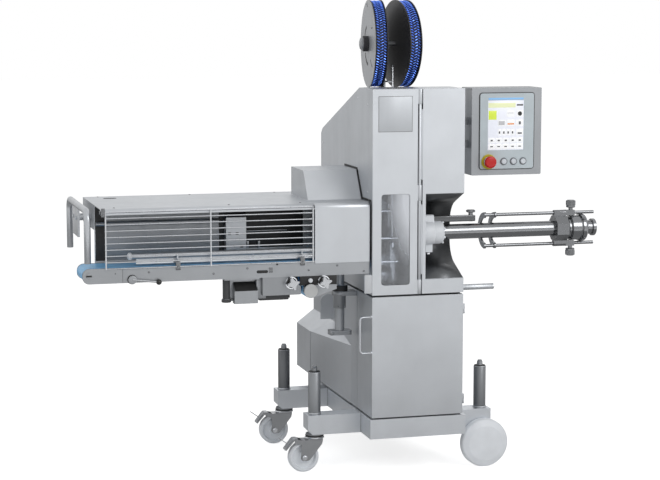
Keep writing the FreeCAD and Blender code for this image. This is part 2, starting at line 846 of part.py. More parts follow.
def lower_hinge(name, z):
    """A lift-off hinge on the right front edge: shell knuckle with pin, door knuckle."""
    x = d.cabinet_right + d.knuckle_radius
    y = d.cabinet_front + d.sheet
    middle = z + d.knuckle_length
    shell_parts = [
        rod(name + "_lower_knuckle", "z", d.knuckle_radius, (x, y, z), d.knuckle_length),
        rod(name + "_hinge_pin", "z", d.knuckle_radius / 2, (x, y, z), d.knuckle_length * 2),
        block(name + "_shell_leaf", (d.cabinet_right, x), (y, y + 20), (z, middle)),
    ]
    door_parts = [
        rod(
            name + "_upper_knuckle",
            "z",
            d.knuckle_radius,
            (x, y, middle + d.seat),
            d.knuckle_length - d.seat,
        ),
        block(
            name + "_door_leaf",
            (d.cabinet_right - 8, x),
            (d.cabinet_front, y),
            (middle + d.seat, middle + d.knuckle_length),
        ),
    ]
    bore = rod(name + "_hinge_bore", "z", d.knuckle_radius / 2 + d.fit, (x, y, middle), d.knuckle_length + 1)
    return shell_parts, door_parts, bore


def lower_cabinet():
    """Cabinet shell with its bulge, and the door with its side flange and handle."""
    left, right = d.cabinet_left, d.cabinet_right
    front, back = d.cabinet_front, d.cabinet_back
    low, high = d.cabinet_bottom, d.cabinet_top
    wall_front = front + d.sheet + d.gap
    flange_end = front + d.lower_return
    body = block("cabinet_outer", (left, right), (wall_front, back), (low, high))
    foot = cut(
        "cabinet_foot",
        block("foot_outer", (left + 10, right - 10), (front + 12, back - 12), (d.frame_bottom + d.tube, low)),
        block("foot_inner", (left + 30, right - 30), (front + 32, back - 32), (d.frame_bottom, low)),
    )
    bulge_outer = shaped("bulge_outer", bulge(0))
    bulge_inner = shaped("bulge_inner", bulge(number(d.sheet)))
    inside = block(
        "cabinet_inside",
        (left + d.sheet, right - d.sheet),
        (wall_front - 1, back - d.sheet),
        (low + d.sheet, high - d.sheet),
    )
    doorway = block(
        "doorway",
        (left - 1, left + d.sheet + d.gap),
        (wall_front - 1, flange_end + d.gap),
        (low - 1, high + 1),
    )
    hinges = [lower_hinge("low", low + 40), lower_hinge("high", high - 40 - d.knuckle_length * 2)]
    solid = joined("cabinet_solid", body, bulge_outer, foot)
    shell = cut("cabinet_walls", solid, inside, doorway, bulge_inner)
    knuckles = [piece for shell_parts, _, _ in hinges for piece in shell_parts]
    lug = plate(
        "side_lug",
        "y",
        (d.lug_y, d.lug_y + d.sheet),
        [
            (d.lug_left, d.lug_low),
            (left + 1, d.lug_low),
            (left + 1, d.lug_high),
            (d.lug_left, d.lug_high, 30),
        ],
    )
    finish(joined("cabinet_shell", shell, lug, *knuckles))
    front_sheet = block("lower_door_front", (left, right), (front, front + d.sheet), (low, high))
    flange = block("lower_door_flange", (left, left + d.sheet), (front, flange_end), (low, high))
    handle_y = front + 10
    reach = left - d.handle_reach
    handle = bent_tube(
        "lower_door_handle",
        [
            (left, handle_y, d.handle_low),
            (reach, handle_y, d.handle_low),
            (reach, handle_y, d.handle_high),
            (left, handle_y, d.handle_high),
        ],
        d.handle_radius,
        d.handle_radius * 3,
    )
    leaves = [piece for _, door_parts, _ in hinges for piece in door_parts]
    bores = [bore for _, _, bore in hinges]
    finish(cut("lower_door", joined("lower_door_solid", front_sheet, flange, handle, *leaves), *bores))


def lower_inside():
    """Drive motor with gearbox in the bulge, and the electrics rack on the back wall."""
    floor = d.cabinet_bottom + d.sheet
    x = d.cabinet_left + 30
    z = (d.bulge_low + d.bulge_high) / 2
    radius = 78
    gear_back = d.bulge_full + 30
    motor = rod("motor_can", "y", radius, (x, gear_back, z), 170)
    rear = rod("motor_fan", "y", radius - 12, (x, gear_back + 170, z), 20)
    gearbox = block("gearbox", (x - 24, x + 90), (gear_back - 70, gear_back), (floor, z + 70))
    shaft = rod("gear_shaft", "y", 14, (x + 40, gear_back - 110, z), 40)
    finish(joined("drive_motor", motor, rear, gearbox, shaft))
    wall = d.cabinet_back - d.sheet
    panel = block(
        "rack_plate",
        (d.cabinet_left + 140, d.cabinet_right - 40),
        (wall - 20, wall - 17),
        (floor + 60, d.cabinet_top - 60),
    )
    pieces = [panel]
    for i in range(2):
        z0 = floor + 90 + i * 190
        pieces.append(
            block(
                f"rack_unit_{i}",
                (d.cabinet_left + 160, d.cabinet_right - 60),
                (wall - 110, wall - 20),
                (z0, z0 + 120),
            )
        )
        for j, x0 in enumerate((d.cabinet_left + 155, d.cabinet_right - 55)):
            pieces.append(rod(f"rack_stud_{i}_{j}", "y", 5, (x0, wall - 17, z0 + 150), 17))
    finish(joined("electrics_rack", *pieces))


def roof_z(y):
    """Height of the sloping roof at a place along Y."""
    slope = (d.tower_top - d.roof_end_z) / (d.roof_end - d.roof_break)
    return d.tower_top - (y - d.roof_break) * slope


def tower_profile(front):
    return [
        (front, d.tower_bottom),
        (d.tower_back, d.tower_bottom),
        (d.tower_back, d.back_top),
        (d.roof_end, d.roof_end_z),
        (d.roof_break, d.tower_top),
        (front, d.tower_top),
    ]


def tower_housing():
    """Left side, top and back cover, and the right housing with the scoop."""
    left, right, front = d.cabinet_left, d.cabinet_right, d.cabinet_front
    side_front = front + d.upper_return + d.gap
    outlet = [
        (side_front, d.outlet_high),
        (d.outlet_back, d.outlet_high, 12),
        (d.outlet_back, d.outlet_low, 12),
        (side_front, d.outlet_low),
    ]
    finish(plate("tower_side_left", "x", (left, left + d.sheet), tower_profile(side_front) + outlet))
    inner = d.sheet
    cover_front = front + d.hinge_inset + d.hinge_knuckle + d.gap / 2
    finish(
        plate(
            "tower_top_cover",
            "x",
            (left + d.sheet, right - d.sheet),
            [
                (cover_front, d.tower_top),
                (d.roof_break, d.tower_top),
                (d.roof_end, d.roof_end_z),
                (d.tower_back, d.back_top),
                (d.tower_back, d.tower_bottom + d.floor_plate),
                (d.tower_back - inner, d.tower_bottom + d.floor_plate),
                (d.tower_back - inner, d.back_top - inner / 2),
                (d.roof_end - inner / 2, d.roof_end_z - inner),
                (d.roof_break - inner / 4, d.tower_top - inner),
                (cover_front, d.tower_top - inner),
            ],
        )
    )
    panel_back = front + d.sheet
    side = plate("housing_side", "x", (right - d.sheet, right), tower_profile(panel_back))
    panel = block("housing_front", (d.panel_left, right), (front, panel_back), (d.tower_bottom, d.tower_top))
    skin = d.sheet
    scoop_skin = plate(
        "scoop_skin",
        "x",
        (d.scoop_left - skin, right),
        [
            (panel_back, d.scoop_top + skin),
            (d.scoop_back + skin, d.scoop_top - d.scoop_rise + skin, d.scoop_radius + skin),
            (d.scoop_back + skin, d.scoop_low + d.scoop_rise - skin, d.scoop_radius + skin),
            (panel_back, d.scoop_low - skin),
        ],
    )
    scoop_space = plate(
        "scoop_space",
        "x",
        (d.scoop_left, right + 1),
        [
            (front - 1, d.scoop_top),
            (d.scoop_back, d.scoop_top - d.scoop_rise, d.scoop_radius),
            (d.scoop_back, d.scoop_low + d.scoop_rise, d.scoop_radius),
            (front - 1, d.scoop_low),
        ],
    )
    horn_hole = rod(
        "horn_hole", "x", d.horn_radius + d.seat, (d.scoop_left - skin - 1, d.line_y, d.line_z), skin + 2
    )
    hinge_y = front + d.hinge_inset
    height = d.tower_top - d.tower_bottom
    hinge = rod("hinge_tube", "z", d.hinge_radius, (d.hinge_x, hinge_y, d.tower_bottom), height)
    webs = []
    for i, (low, high) in enumerate(((80, 360), (460, 740))):
        webs.append(
            block(
                f"hinge_web_{i}",
                (d.hinge_x, d.panel_left + 2),
                (hinge_y - 3, hinge_y + 2),
                (d.tower_bottom + low, d.tower_bottom + high),
            )
        )
    docking = rod(
        "docking_bar",
        "x",
        d.docking_radius,
        (right + d.docking_relief, d.docking_y, d.docking_z),
        d.docking_length - d.docking_relief,
    )
    docking_root = rod(
        "docking_root",
        "x",
        d.docking_neck,
        (right - d.sheet, d.docking_y, d.docking_z),
        d.sheet + d.docking_relief + 1,
    )
    arm_plate = block(
        "arm_plate",
        (right, right + 10),
        (d.swivel_y - 35, d.swivel_y + 35),
        (d.swivel_z - 40, d.swivel_z + 40),
    )
    arm = rod("panel_arm", "x", 16, (right, d.swivel_y, d.swivel_z), d.swivel_x - right)
    barrel = rod("swivel_barrel", "z", 22, (d.swivel_x, d.swivel_y, d.swivel_z - 32), 64)
    swivel_pin = rod("swivel_pin", "z", 12, (d.swivel_x, d.swivel_y, d.swivel_z - 62), 124)
    walls = cut("housing_walls", joined("housing_solid", side, panel, scoop_skin), scoop_space, horn_hole)
    fittings = [docking, docking_root, arm_plate, arm, barrel, swivel_pin]
    finish(joined("tower_right_housing", walls, hinge, *webs, *fittings))


def upper_door():
    """Door with its side flange, hinge knuckles and grip tab, and the window behind it."""
    left, front = d.cabinet_left, d.cabinet_front
    low, high = d.tower_bottom, d.tower_top
    edge = d.hinge_x - d.hinge_radius - d.gap
    sheet_front = plate(
        "upper_door_front",
        "y",
        (front, front + d.sheet),
        rectangle((left, edge), (low, high)),
        loops=[rectangle((d.window_left, d.window_right), (d.window_low, d.window_high), 12)],
    )
    flange = block("upper_door_flange", (left, left + d.sheet), (front, front + d.upper_return), (low, high))
    top_flange = block("upper_door_rim", (left, edge), (front, front + d.sheet + d.gap - 1), (high - 3, high))
    hinge_y = front + d.hinge_inset
    pieces, bores = [sheet_front, flange, top_flange], []
    for i, (bottom, top) in enumerate(((low, low + 58), (low + 376, low + 439), (high - 59, high))):
        pieces.append(
            rod(f"door_knuckle_{i}", "z", d.hinge_knuckle, (d.hinge_x, hinge_y, bottom), top - bottom)
        )
        pieces.append(block(f"door_leaf_{i}", (edge - 2, d.hinge_x), (front, front + d.sheet), (bottom, top)))
    bores.append(rod("door_bore", "z", d.hinge_radius + d.fit, (d.hinge_x, hinge_y, low - 1), high - low + 2))
    grip = plate(
        "grip_tab",
        "y",
        (front + 2, front + 14),
        rectangle((left - 30, left + 1), (low + 10, low + 83), 6),
    )
    finish(cut("upper_door", joined("upper_door_solid", *pieces, grip), *bores))
    rim = 6
    finish(
        plate(
            "door_window",
            "y",
            (front + d.sheet, front + d.sheet * 2),
            rectangle(
                (d.window_left - rim, d.window_right + rim),
                (d.window_low - rim, d.window_high + rim),
                14,
            ),
        )
    )


def slide_block(name, z, extra):
    """A block that runs on both guide posts, with what it carries."""
    x, y = d.guide_x, d.guide_y
    base = block(
        name + "_block",
        (x - d.slide_half, x + d.slide_half),
        (y - d.slide_depth, y + d.slide_depth),
        (z, z + d.slide_height),
    )
    bores = [
        rod(
            f"{name}_bore_{i}",
            "z",
            d.guide_radius + d.fit,
            (x + side * d.guide_spread, y, z - 1),
            d.slide_height + 2,
        )
        for i, side in enumerate((-1, 1))
    ]
    finish(cut(name, joined(name + "_solid", base, *extra), *bores))


def closing_mechanism():
    """Floor plate with the guide posts; gatherer plates, punch and die that meet on the line."""
    left, right = d.cabinet_left + d.sheet, d.cabinet_right - d.sheet
    low = d.tower_bottom
    top = low + d.floor_plate
    floor = block("floor_plate", (left, right), (d.cabinet_front + 20, d.tower_back), (low, top))
    neck = block(
        "floor_neck",
        (left + 11, right - 11),
        (d.cabinet_front + 22, d.tower_back - 15),
        (d.cabinet_top, low),
    )
    posts = [
        rod(
            f"guide_post_{i}",
            "z",
            d.guide_radius,
            (d.guide_x + side * d.guide_spread, d.guide_y, top),
            d.guide_top - top,
        )
        for i, side in enumerate((-1, 1))
    ]
    bridge = block(
        "guide_bridge",
        (d.guide_x - d.slide_half, d.guide_x + d.slide_half),
        (d.guide_y - d.slide_depth, d.guide_y + d.slide_depth),
        (d.guide_top - 2, d.guide_top + 20),
    )
    finish(joined("machine_plate", floor, neck, *posts, bridge))
    y, z = d.line_y, d.line_z
    block_front = d.guide_y - d.slide_depth + 1
    gap_z = 91
    for name, side in (("gatherer_upper", 1), ("gatherer_lower", -1)):
        x = d.guide_x + (-6 if side > 0 else 4)
        far = z + side * (gap_z + d.slide_height)
        tip = z + side * 34
        vee = [
            (block_front, far),
            (y - 50, far),
            (y - 50, tip),
            (y - 38, tip),
            (y, z + side * 74, 8),
            (block_front, z + side * 44),
        ]
        blade = plate(name + "_blade", "x", (x, x + 6), vee)
        slide_block(name, z + gap_z if side > 0 else z - gap_z - d.slide_height, [blade])
    for name, side in (("punch", 1), ("die", -1)):
        x = d.guide_x + 22
        base = gap_z + d.slide_height + 30
        near, far = z + side * 64, z + side * (base + d.slide_height)
        span = (near, far) if side > 0 else (far, near)
        finger = block(name + "_finger", (x, x + 12), (y - 12, y + 12), span)
        arm_z = (far - 25, far) if side > 0 else (far, far + 25)
        arm = block(name + "_arm", (x, x + 12), (y - 12, block_front), arm_z)
        slide_block(name, z + base if side > 0 else z - base - d.slide_height, [finger, arm])


def clip_supply():
    """Spool bracket on the roof, and two toed reels wound with clips."""
    y, z = d.reel_y, d.reel_z
    foot_front, foot_back = y - 40, y + 40
    mast = plate(
        "spool_mast",
        "x",
        (d.mast_x, d.mast_x + 8),
        [
            (y - 30, roof_z(y - 30)),
            (y + 30, roof_z(y + 30)),
            (y + 22, z + 22, 10),
            (y - 22, z + 22, 10),
        ],
    )
    foot = plate(
        "spool_foot",
        "x",
        (d.mast_x - 18, d.mast_x + 26),
        [
            (foot_front, roof_z(foot_front)),
            (foot_back, roof_z(foot_back)),
            (foot_back, roof_z(foot_back) + 8),
            (foot_front, roof_z(foot_front) + 8),
        ],
    )
    pieces = [mast, foot]
    reels = (("left", d.left_reel_x, d.left_toe, -1), ("right", d.right_reel_x, d.right_toe, 1))
    for name, x, toe, side in reels:
        turn = Rotation(Vector(0, 0, 1), number(toe))
        to_mast = (d.mast_x + 4 - x) * -side
        outer = d.reel_half + d.hub_length - 8
        axle = turned(
            name + "_reel_axle",
            "x",
            [
                (to_mast * -side, 0),
                (to_mast * -side, d.reel_axle),
                (outer * side, d.reel_axle),
                (outer * side, 0),
            ],
            (x, y, z),
            turn,
        )
        pieces.append(axle)
        w, t = d.reel_half, d.reel_flange
        bore = d.reel_axle + d.fit
        hub = w + d.hub_length
        profile = [
            (-w, bore),
            (-w, d.reel_radius),
            (t - w, d.reel_radius),
            (t - w, d.reel_core),
            (w - t, d.reel_core),
            (w - t, d.reel_radius),
            (w, d.reel_radius),
            (w, d.hub_radius),
            (hub - 14, d.hub_radius, 4),
            (hub - 14, 16),
            (hub, 14, 4),
            (hub, 0),
            (outer + d.seat, 0),
            (outer + d.seat, bore),
        ]
        if side < 0:
            profile = [(0 - corner[0], *corner[1:]) for corner in profile]
        finish(turned(f"reel_{name}", "x", profile, (x, y, z), turn))
        gap = d.seat
        finish(
            turned(
                f"clips_{name}",
                "x",
                [
                    (t - w + gap, d.reel_core + gap),
                    (t - w + gap, d.clip_radius, 2),
                    (w - t - gap, d.clip_radius, 2),
                    (w - t - gap, d.reel_core + gap),
                ],
                (x, y, z),
                turn,
            )
        )
    guide_y = y - 55
    guide = rod("chain_guide", "z", 4, (d.mast_x + 30, guide_y, roof_z(guide_y - 4)), 98)
    tie = block(
        "chain_guide_tie",
        (d.mast_x + 8, d.mast_x + 32),
        (guide_y - 3, y - 20),
        (roof_z(guide_y) + 30, roof_z(guide_y) + 36),
    )
    finish(joined("spool_bracket", *pieces, guide, tie))


def horn_side():
    """Horn with its couplings, clamp, carriage, clamp knobs, casing brake and brake knob."""
    y, z = d.line_y, d.line_z
    end = d.horn_end
    coupling = d.clamp_right + 6
    finish(
        turned(
            "horn",
            "x",
            [
                (d.horn_start, d.horn_bore),
                (d.horn_start, d.horn_radius),
                (coupling, d.horn_radius),
                (coupling, 44),
                (coupling + 10, 44),
                (coupling + 10, 51, 3),
                (coupling + 53, 51, 3),
                (coupling + 53, 56.5, 3),
                (coupling + 74, 56.5, 0, 12),
                (coupling + 82, 40, 6),
                (coupling + 82, 28.5),
                (end - 15, 28.5),
                (end - 15, 35.5, 1.5),
                (end, 35.5, 1.5),
                (end, d.horn_bore),
            ],
            (0, y, z),
        )
    )
    c, k = d.clamp_half, d.clamp_half * 0.45
    octagon = [
        (y - c, z - k),
        (y - k, z - c),
        (y + k, z - c),
        (y + c, z - k),
        (y + c, z + k),
        (y + k, z + c),
        (y - k, z + c),
        (y - c, z + k),
    ]
    body = plate("clamp_body", "x", (d.clamp_left, d.clamp_right), octagon)
    pieces, bores = [body], [rod("clamp_bore", "x", d.horn_radius + d.fit, (d.clamp_left - 1, y, z), 60)]
    for name, side in (("top", 1), ("bottom", -1)):
        rod_z = z + side * d.rod_offset
        boss = 12
        pieces.append(rod(f"{name}_boss", "x", boss, (d.clamp_left, y, rod_z), d.clamp_right - d.clamp_left))
        web_z = (z + c - 4, rod_z) if side > 0 else (rod_z, z - c + 4)
        pieces.append(block(f"{name}_web", (d.clamp_left, d.clamp_right), (y - boss, y + boss), web_z))
        lug_right = d.knob_x + 14
        lug_y = (y - boss, y + boss)
        pieces.append(block(f"{name}_lug", (d.clamp_right - 1, lug_right), lug_y, (rod_z - 11, rod_z + 11)))
        bore_start = (d.clamp_left - 1, y, rod_z)
        bore_length = lug_right - d.clamp_left + 2
        bores.append(rod(f"{name}_rod_bore", "x", d.rod_radius + d.fit, bore_start, bore_length))
        hole_low = rod_z if side > 0 else rod_z - 20
        bores.append(rod(f"{name}_screw_bore", "z", 5 + d.fit, (d.knob_x, y, hole_low), 20))
        tip = rod_z + side * (d.rod_radius + d.seat)
        neck = rod_z + side * 11.3
        head = rod_z + side * 21
        top = rod_z + side * 52
        finish(
            turned(
                f"clamp_knob_{name}",
                "z",
                [
                    (tip, 0),
                    (tip, 5),
                    (neck, 5),
                    (neck, 9),
                    (head, 9),
                    (head, d.knob_radius, 2),
                    (top, d.knob_radius, 4),
                    (top, 0),
                ],
                (d.knob_x, y, 0),
            )
        )
    finish(cut("horn_clamp", joined("clamp_solid", *pieces), *bores))
    carriage = []
    for i, x in enumerate((d.rod_start, d.rod_start + 44)):
        ring = cut(
            f"yoke_ring_{i}",
            rod(f"yoke_outer_{i}", "x", d.rod_offset + 10, (x, y, z), 8),
            rod(f"yoke_inner_{i}", "x", d.rod_offset - 13, (x - 1, y, z), 10),
        )
        back = block(f"yoke_back_{i}", (x, x + 8), (y, y + 90), (z - 90, z + 90))
        carriage.append(common(f"yoke_{i}", ring, back))
        for j, side in enumerate((-1, 1)):
            carriage.append(rod(f"yoke_eye_{i}_{j}", "x", 11.5, (x, y, z + side * d.rod_offset), 8))
    for j, side in enumerate((-1, 1)):
        rod_start = (d.rod_start, y, z + side * d.rod_offset)
        carriage.append(rod(f"carriage_rod_{j}", "x", d.rod_radius, rod_start, d.rod_end - d.rod_start))
    finish(joined("casing_carriage", *carriage))
    start = d.brake_start
    finish_x = start + d.brake_length
    ring = turned(
        "brake_body",
        "x",
        [
            (start, d.horn_radius + d.fit),
            (start, d.brake_radius - 8, 4),
            (start + 20, d.brake_radius, 4),
            (start + 58, d.brake_radius, 4),
            (start + 66, d.brake_radius - 8, 3),
            (finish_x, d.brake_radius - 8, 4),
            (finish_x, d.horn_radius + d.fit),
        ],
        (0, y, z),
    )
    lug = plate(
        "brake_lug",
        "x",
        (start + 26, start + 62),
        [
            (y - 22, z + 40),
            (y - 15, z + 72, 6),
            (y + 15, z + 72, 6),
            (y + 22, z + 40),
        ],
    )
    lower_lug = block("brake_lower_lug", (start + 30, start + 58), (y - 12, y + 12), (z - 80, z - 44))
    arm = block("brake_arm", (start + 50, d.arm_end), (y - 12, y + 12), (z + 42, z + 65))
    knob_bore = rod("brake_knob_bore", "z", 9 + d.fit, (d.brake_knob_x, y, z + 38), 40)
    finish(cut("brake_ring", joined("brake_solid", ring, lug, lower_lug, arm), knob_bore))
    finish(
        turned(
            "brake_knob",
            "z",
            [(z + 40, 0), (z + 40, 9), (z + 77, 9), (z + 77, 18, 2), (z + 88, 18, 4), (z + 88, 0)],
            (d.brake_knob_x, y, 0),
        )
    )


def operator_panel():
    """Swivelling box, face plate, emergency stop and three push buttons."""
    left, right = d.panel_box_left, d.panel_box_right
    front, back = d.panel_box_front, d.panel_box_back
    low, high = d.panel_box_low, d.panel_box_high
    wall = 3
    outer = plate("panel_outer", "y", (front, back), rectangle((left, right), (low, high), 5))
    inside = block(
        "panel_inside",
        (left + wall, right - wall),
        (front + wall, back - wall),
        (low + wall, high - wall),
    )
    face_x = (left + d.panel_margin, right - d.panel_margin)
    face_z = (d.face_low, d.face_high)
    opening = block(
        "panel_opening",
        (face_x[0] + 8, face_x[1] - 8),
        (front - 1, front + wall + 1),
        (face_z[0] + 8, face_z[1] - 8),
    )
    pieces = [cut("panel_shell", outer, inside, opening)]
    for i, side in enumerate((-1, 1)):
        start = d.swivel_z + (32 + d.seat) if side > 0 else d.swivel_z - (62 + d.seat)
        pieces.append(rod(f"panel_knuckle_{i}", "z", 22, (d.swivel_x, d.swivel_y, start), 30))
        leaf_y = (d.swivel_y - 14, d.swivel_y + 14)
        pieces.append(block(f"panel_leaf_{i}", (d.swivel_x, left + 1), leaf_y, (start, start + 30)))
    bore = rod("panel_bore", "z", 12 + d.fit, (d.swivel_x, d.swivel_y, d.swivel_z - 70), 140)
    finish(cut("panel_box", joined("panel_solid", *pieces), bore))
    plate_front = front - d.sheet
    collar_front = plate_front - 6
    centres = [(d.estop_x, 30, 11)]
    centres += [(d.first_button_x + d.button_pitch * i, 14.5, 11) for i in range(3)]
    face = plate(
        "face_plate",
        "y",
        (plate_front, front),
        rectangle(face_x, face_z, 10),
    )
    screen = block(
        "screen_recess",
        (left + 69, right - 79),
        (plate_front - 1, plate_front + 0.8),
        (d.face_low + 77, d.face_high - 29),
    )
    collars = [
        rod(
            f"collar_{i}",
            "y",
            radius,
            (x, collar_front if i == 0 else plate_front - 3, d.button_z),
            7 if i == 0 else 4,
        )
        for i, (x, radius, _) in enumerate(centres)
    ]
    holes = [
        rod(f"button_hole_{i}", "y", stem + d.fit, (x, collar_front - 1, d.button_z), 12 + d.sheet)
        for i, (x, _, stem) in enumerate(centres)
    ]
    finish(cut("panel_face", joined("face_solid", cut("face_recessed", face, screen), *collars), *holes))
    finish(
        turned(
            "emergency_stop",
            "-y",
            [
                (-4, 0),
                (-4, 11),
                (d.sheet + 16, 11),
                (d.sheet + 16, 20, 2),
                (d.sheet + 22, 25, 3),
                (d.sheet + 36, 25, 0, 9),
                (d.sheet + 38, 8),
                (d.sheet + 38, 0),
            ],
            (d.estop_x, front, d.button_z),
        )
    )
    for i in range(3):
        finish(
            turned(
                f"push_button_{i + 1}",
                "-y",
                [(-4, 0), (-4, 11), (d.sheet + 8, 11, 2), (d.sheet + 8, 0)],
                (d.first_button_x + d.button_pitch * i, front, d.button_z),
            )
        )


def belt_loop(name, radius):
    """Solid under the belt's path: the long loop and the drop round the drive roller."""
    low, high = d.belt_front, d.belt_back
    front, back = (low, high) if name == "belt_outside" else (low - 1, high + 1)
    width = back - front
    pieces = [
        block(name + "_run", (d.tail_x, d.nose_x), (front, back), (d.belt_z - radius, d.belt_z + radius)),
        block(name + "_drop", (d.drive_x - radius, d.drive_x + radius), (front, back), (d.drive_z, d.belt_z)),
    ]
    turns = (
        ("tail", d.tail_x, d.belt_z),
        ("nose", d.nose_x, d.belt_z),
        ("drive", d.drive_x, d.drive_z),
    )
    for end, x, z in turns:
        pieces.append(rod(f"{name}_{end}", "y", radius, (x, front, z), width))
    return joined(name, *pieces)


def conveyor_frame():
    """Side plates, slider bed, cross tubes, roller hangers and lifting mast, welded."""
    left, right = d.conveyor_left, d.conveyor_right
    low, high = d.side_low, d.side_high
    t = d.sheet
    side_in, back_in = d.side_front + t, d.side_back - t
    sides = []
    slot = rectangle((d.slot_left, d.slot_right), (d.belt_z - 14, d.belt_z - 2), 5.9)
    outline_points = [(left, low, 26), (right, low), (right, high), (left, high, 26)]
    for name, span, loops in (
        ("front_side", (d.side_front, side_in), [slot]),
        ("rear_side", (back_in, d.side_back), []),
    ):
        holes = [(d.tail_x, d.belt_z, d.journal + d.fit)]
        if name == "front_side":
            holes.append((d.lever_x, d.lever_z, 6 + d.fit))
        sides.append(plate(name, "y", span, outline_points, loops, holes))
    bed_top = d.belt_z + d.belt_radius - d.belt_thick - 0.5
    bed = block(
        "slider_bed",
        (d.tail_x + 45, d.nose_x - 30),
        (d.belt_front + 0.3, back_in),
        (bed_top - 4, bed_top),
    )
    width = back_in - side_in
    tubes = [
        rod(f"cross_tube_{i}", "y", 10, (x, side_in, bed_top - 13.5), width)
        for i, x in enumerate((-900, -620, -300, -20))
    ]
    nose = rod("nose_bar", "y", d.belt_radius - d.belt_thick - d.seat, (d.nose_x, side_in, d.belt_z), width)
    snub = 3
    snub_x = d.belt_radius + snub + d.seat
    snub_z = d.belt_z - d.belt_radius - snub - d.seat
    snubs = [
        rod(f"return_bar_{i}", "y", snub, (d.drive_x + side * snub_x, side_in, snub_z), width)
        for i, side in enumerate((-1, 1))
    ]
    star_right = d.drive_x + 55
    front_hanger = plate(
        "front_hanger",
        "y",
        (side_in, side_in + 4),
        [
            (d.drive_x - 40, low + 6),
            (d.drive_x + 110, low + 6),
            (d.drive_x + 110, low - 56),
            (d.drive_x + 25, low - 86, 8),
            (d.drive_x - 16, low - 86, 8),
            (d.drive_x - 16, low - 38),
            (d.drive_x - 40, low - 38),
        ],
        holes=[(d.drive_x, d.drive_z, d.journal + d.fit), (star_right, d.knob_low_z, 5 + d.fit)],
    )
    rear_hanger = plate(
        "rear_hanger",
        "y",
        (back_in, d.side_back),
        [
            (d.drive_x - 130, low + 6),
            (d.drive_x + 110, low + 6),
            (d.drive_x + 110, low - 90, 6),
            (d.drive_x - 5, low - 90, 6),
            (d.drive_x - 30, low - 70, 6),
            (d.drive_x - 130, low - 70, 6),
        ],
        holes=[(d.drive_x, d.drive_z, d.journal + d.fit)],
    )
    sockets, bores = [], []
    for i, x in enumerate(guide_posts()):
        socket = ((x - 7, x + 7), (side_in, d.belt_front - 0.4), (low + 22, high - 8))
        sockets.append(block(f"guide_socket_{i}", *socket))
        bore_start = (x, d.belt_front - 3.5, low)
        bores.append(rod(f"guide_socket_bore_{i}", "z", 3 + d.fit, bore_start, high - low + 5))
    x, y = d.mast_centre_x, d.mast_centre_y
    pad_top = d.cover_low
    mast_head = block(
        "mast_head",
        (x - 55, d.conveyor_right - 5),
        (d.side_back, y + 60),
        (pad_top - 12, pad_top),
    )
    mast = rod("mast", "z", d.mast_radius, (x, y, d.mast_low), pad_top - d.mast_low)
    ring = rod("mast_ring", "z", 32, (x, y, d.bracket_top), 26)
    collar = plate(
        "mast_collar",
        "z",
        (d.mast_low, d.mast_low + 18),
        rectangle((x - 46, x + 46), (y - 28, y + 28), 12),
    )
    bars = [bed, *tubes, nose, *snubs, front_hanger, rear_hanger, *sockets]
    whole = joined("frame_joined", *sides, *bars, mast_head, mast, ring, collar)
    finish(cut("conveyor_frame", whole, *bores))


def guide_posts():
    """Where the product guide's two posts stand along X."""
    return d.guide_tube_left + 184, d.hood_right - 50


def conveyor_column():
    """Bracket on the cabinet with the guide tube of the lifting mast."""
    x, y = d.mast_centre_x, d.mast_centre_y
    low = d.bracket_top - 18
    arm = block("column_arm", (x, d.cabinet_left), (y - 33, y + 33), (low, d.bracket_top))
    end = rod("column_end", "z", 33, (x, y, low), 18)
    tube = rod("column_tube", "z", 25.5, (x, y, low - 53), 60)
    bore = rod("column_bore", "z", d.mast_radius + d.fit, (x, y, low - 54), 80)
    finish(cut("conveyor_column", joined("column_solid", arm, end, tube), bore))


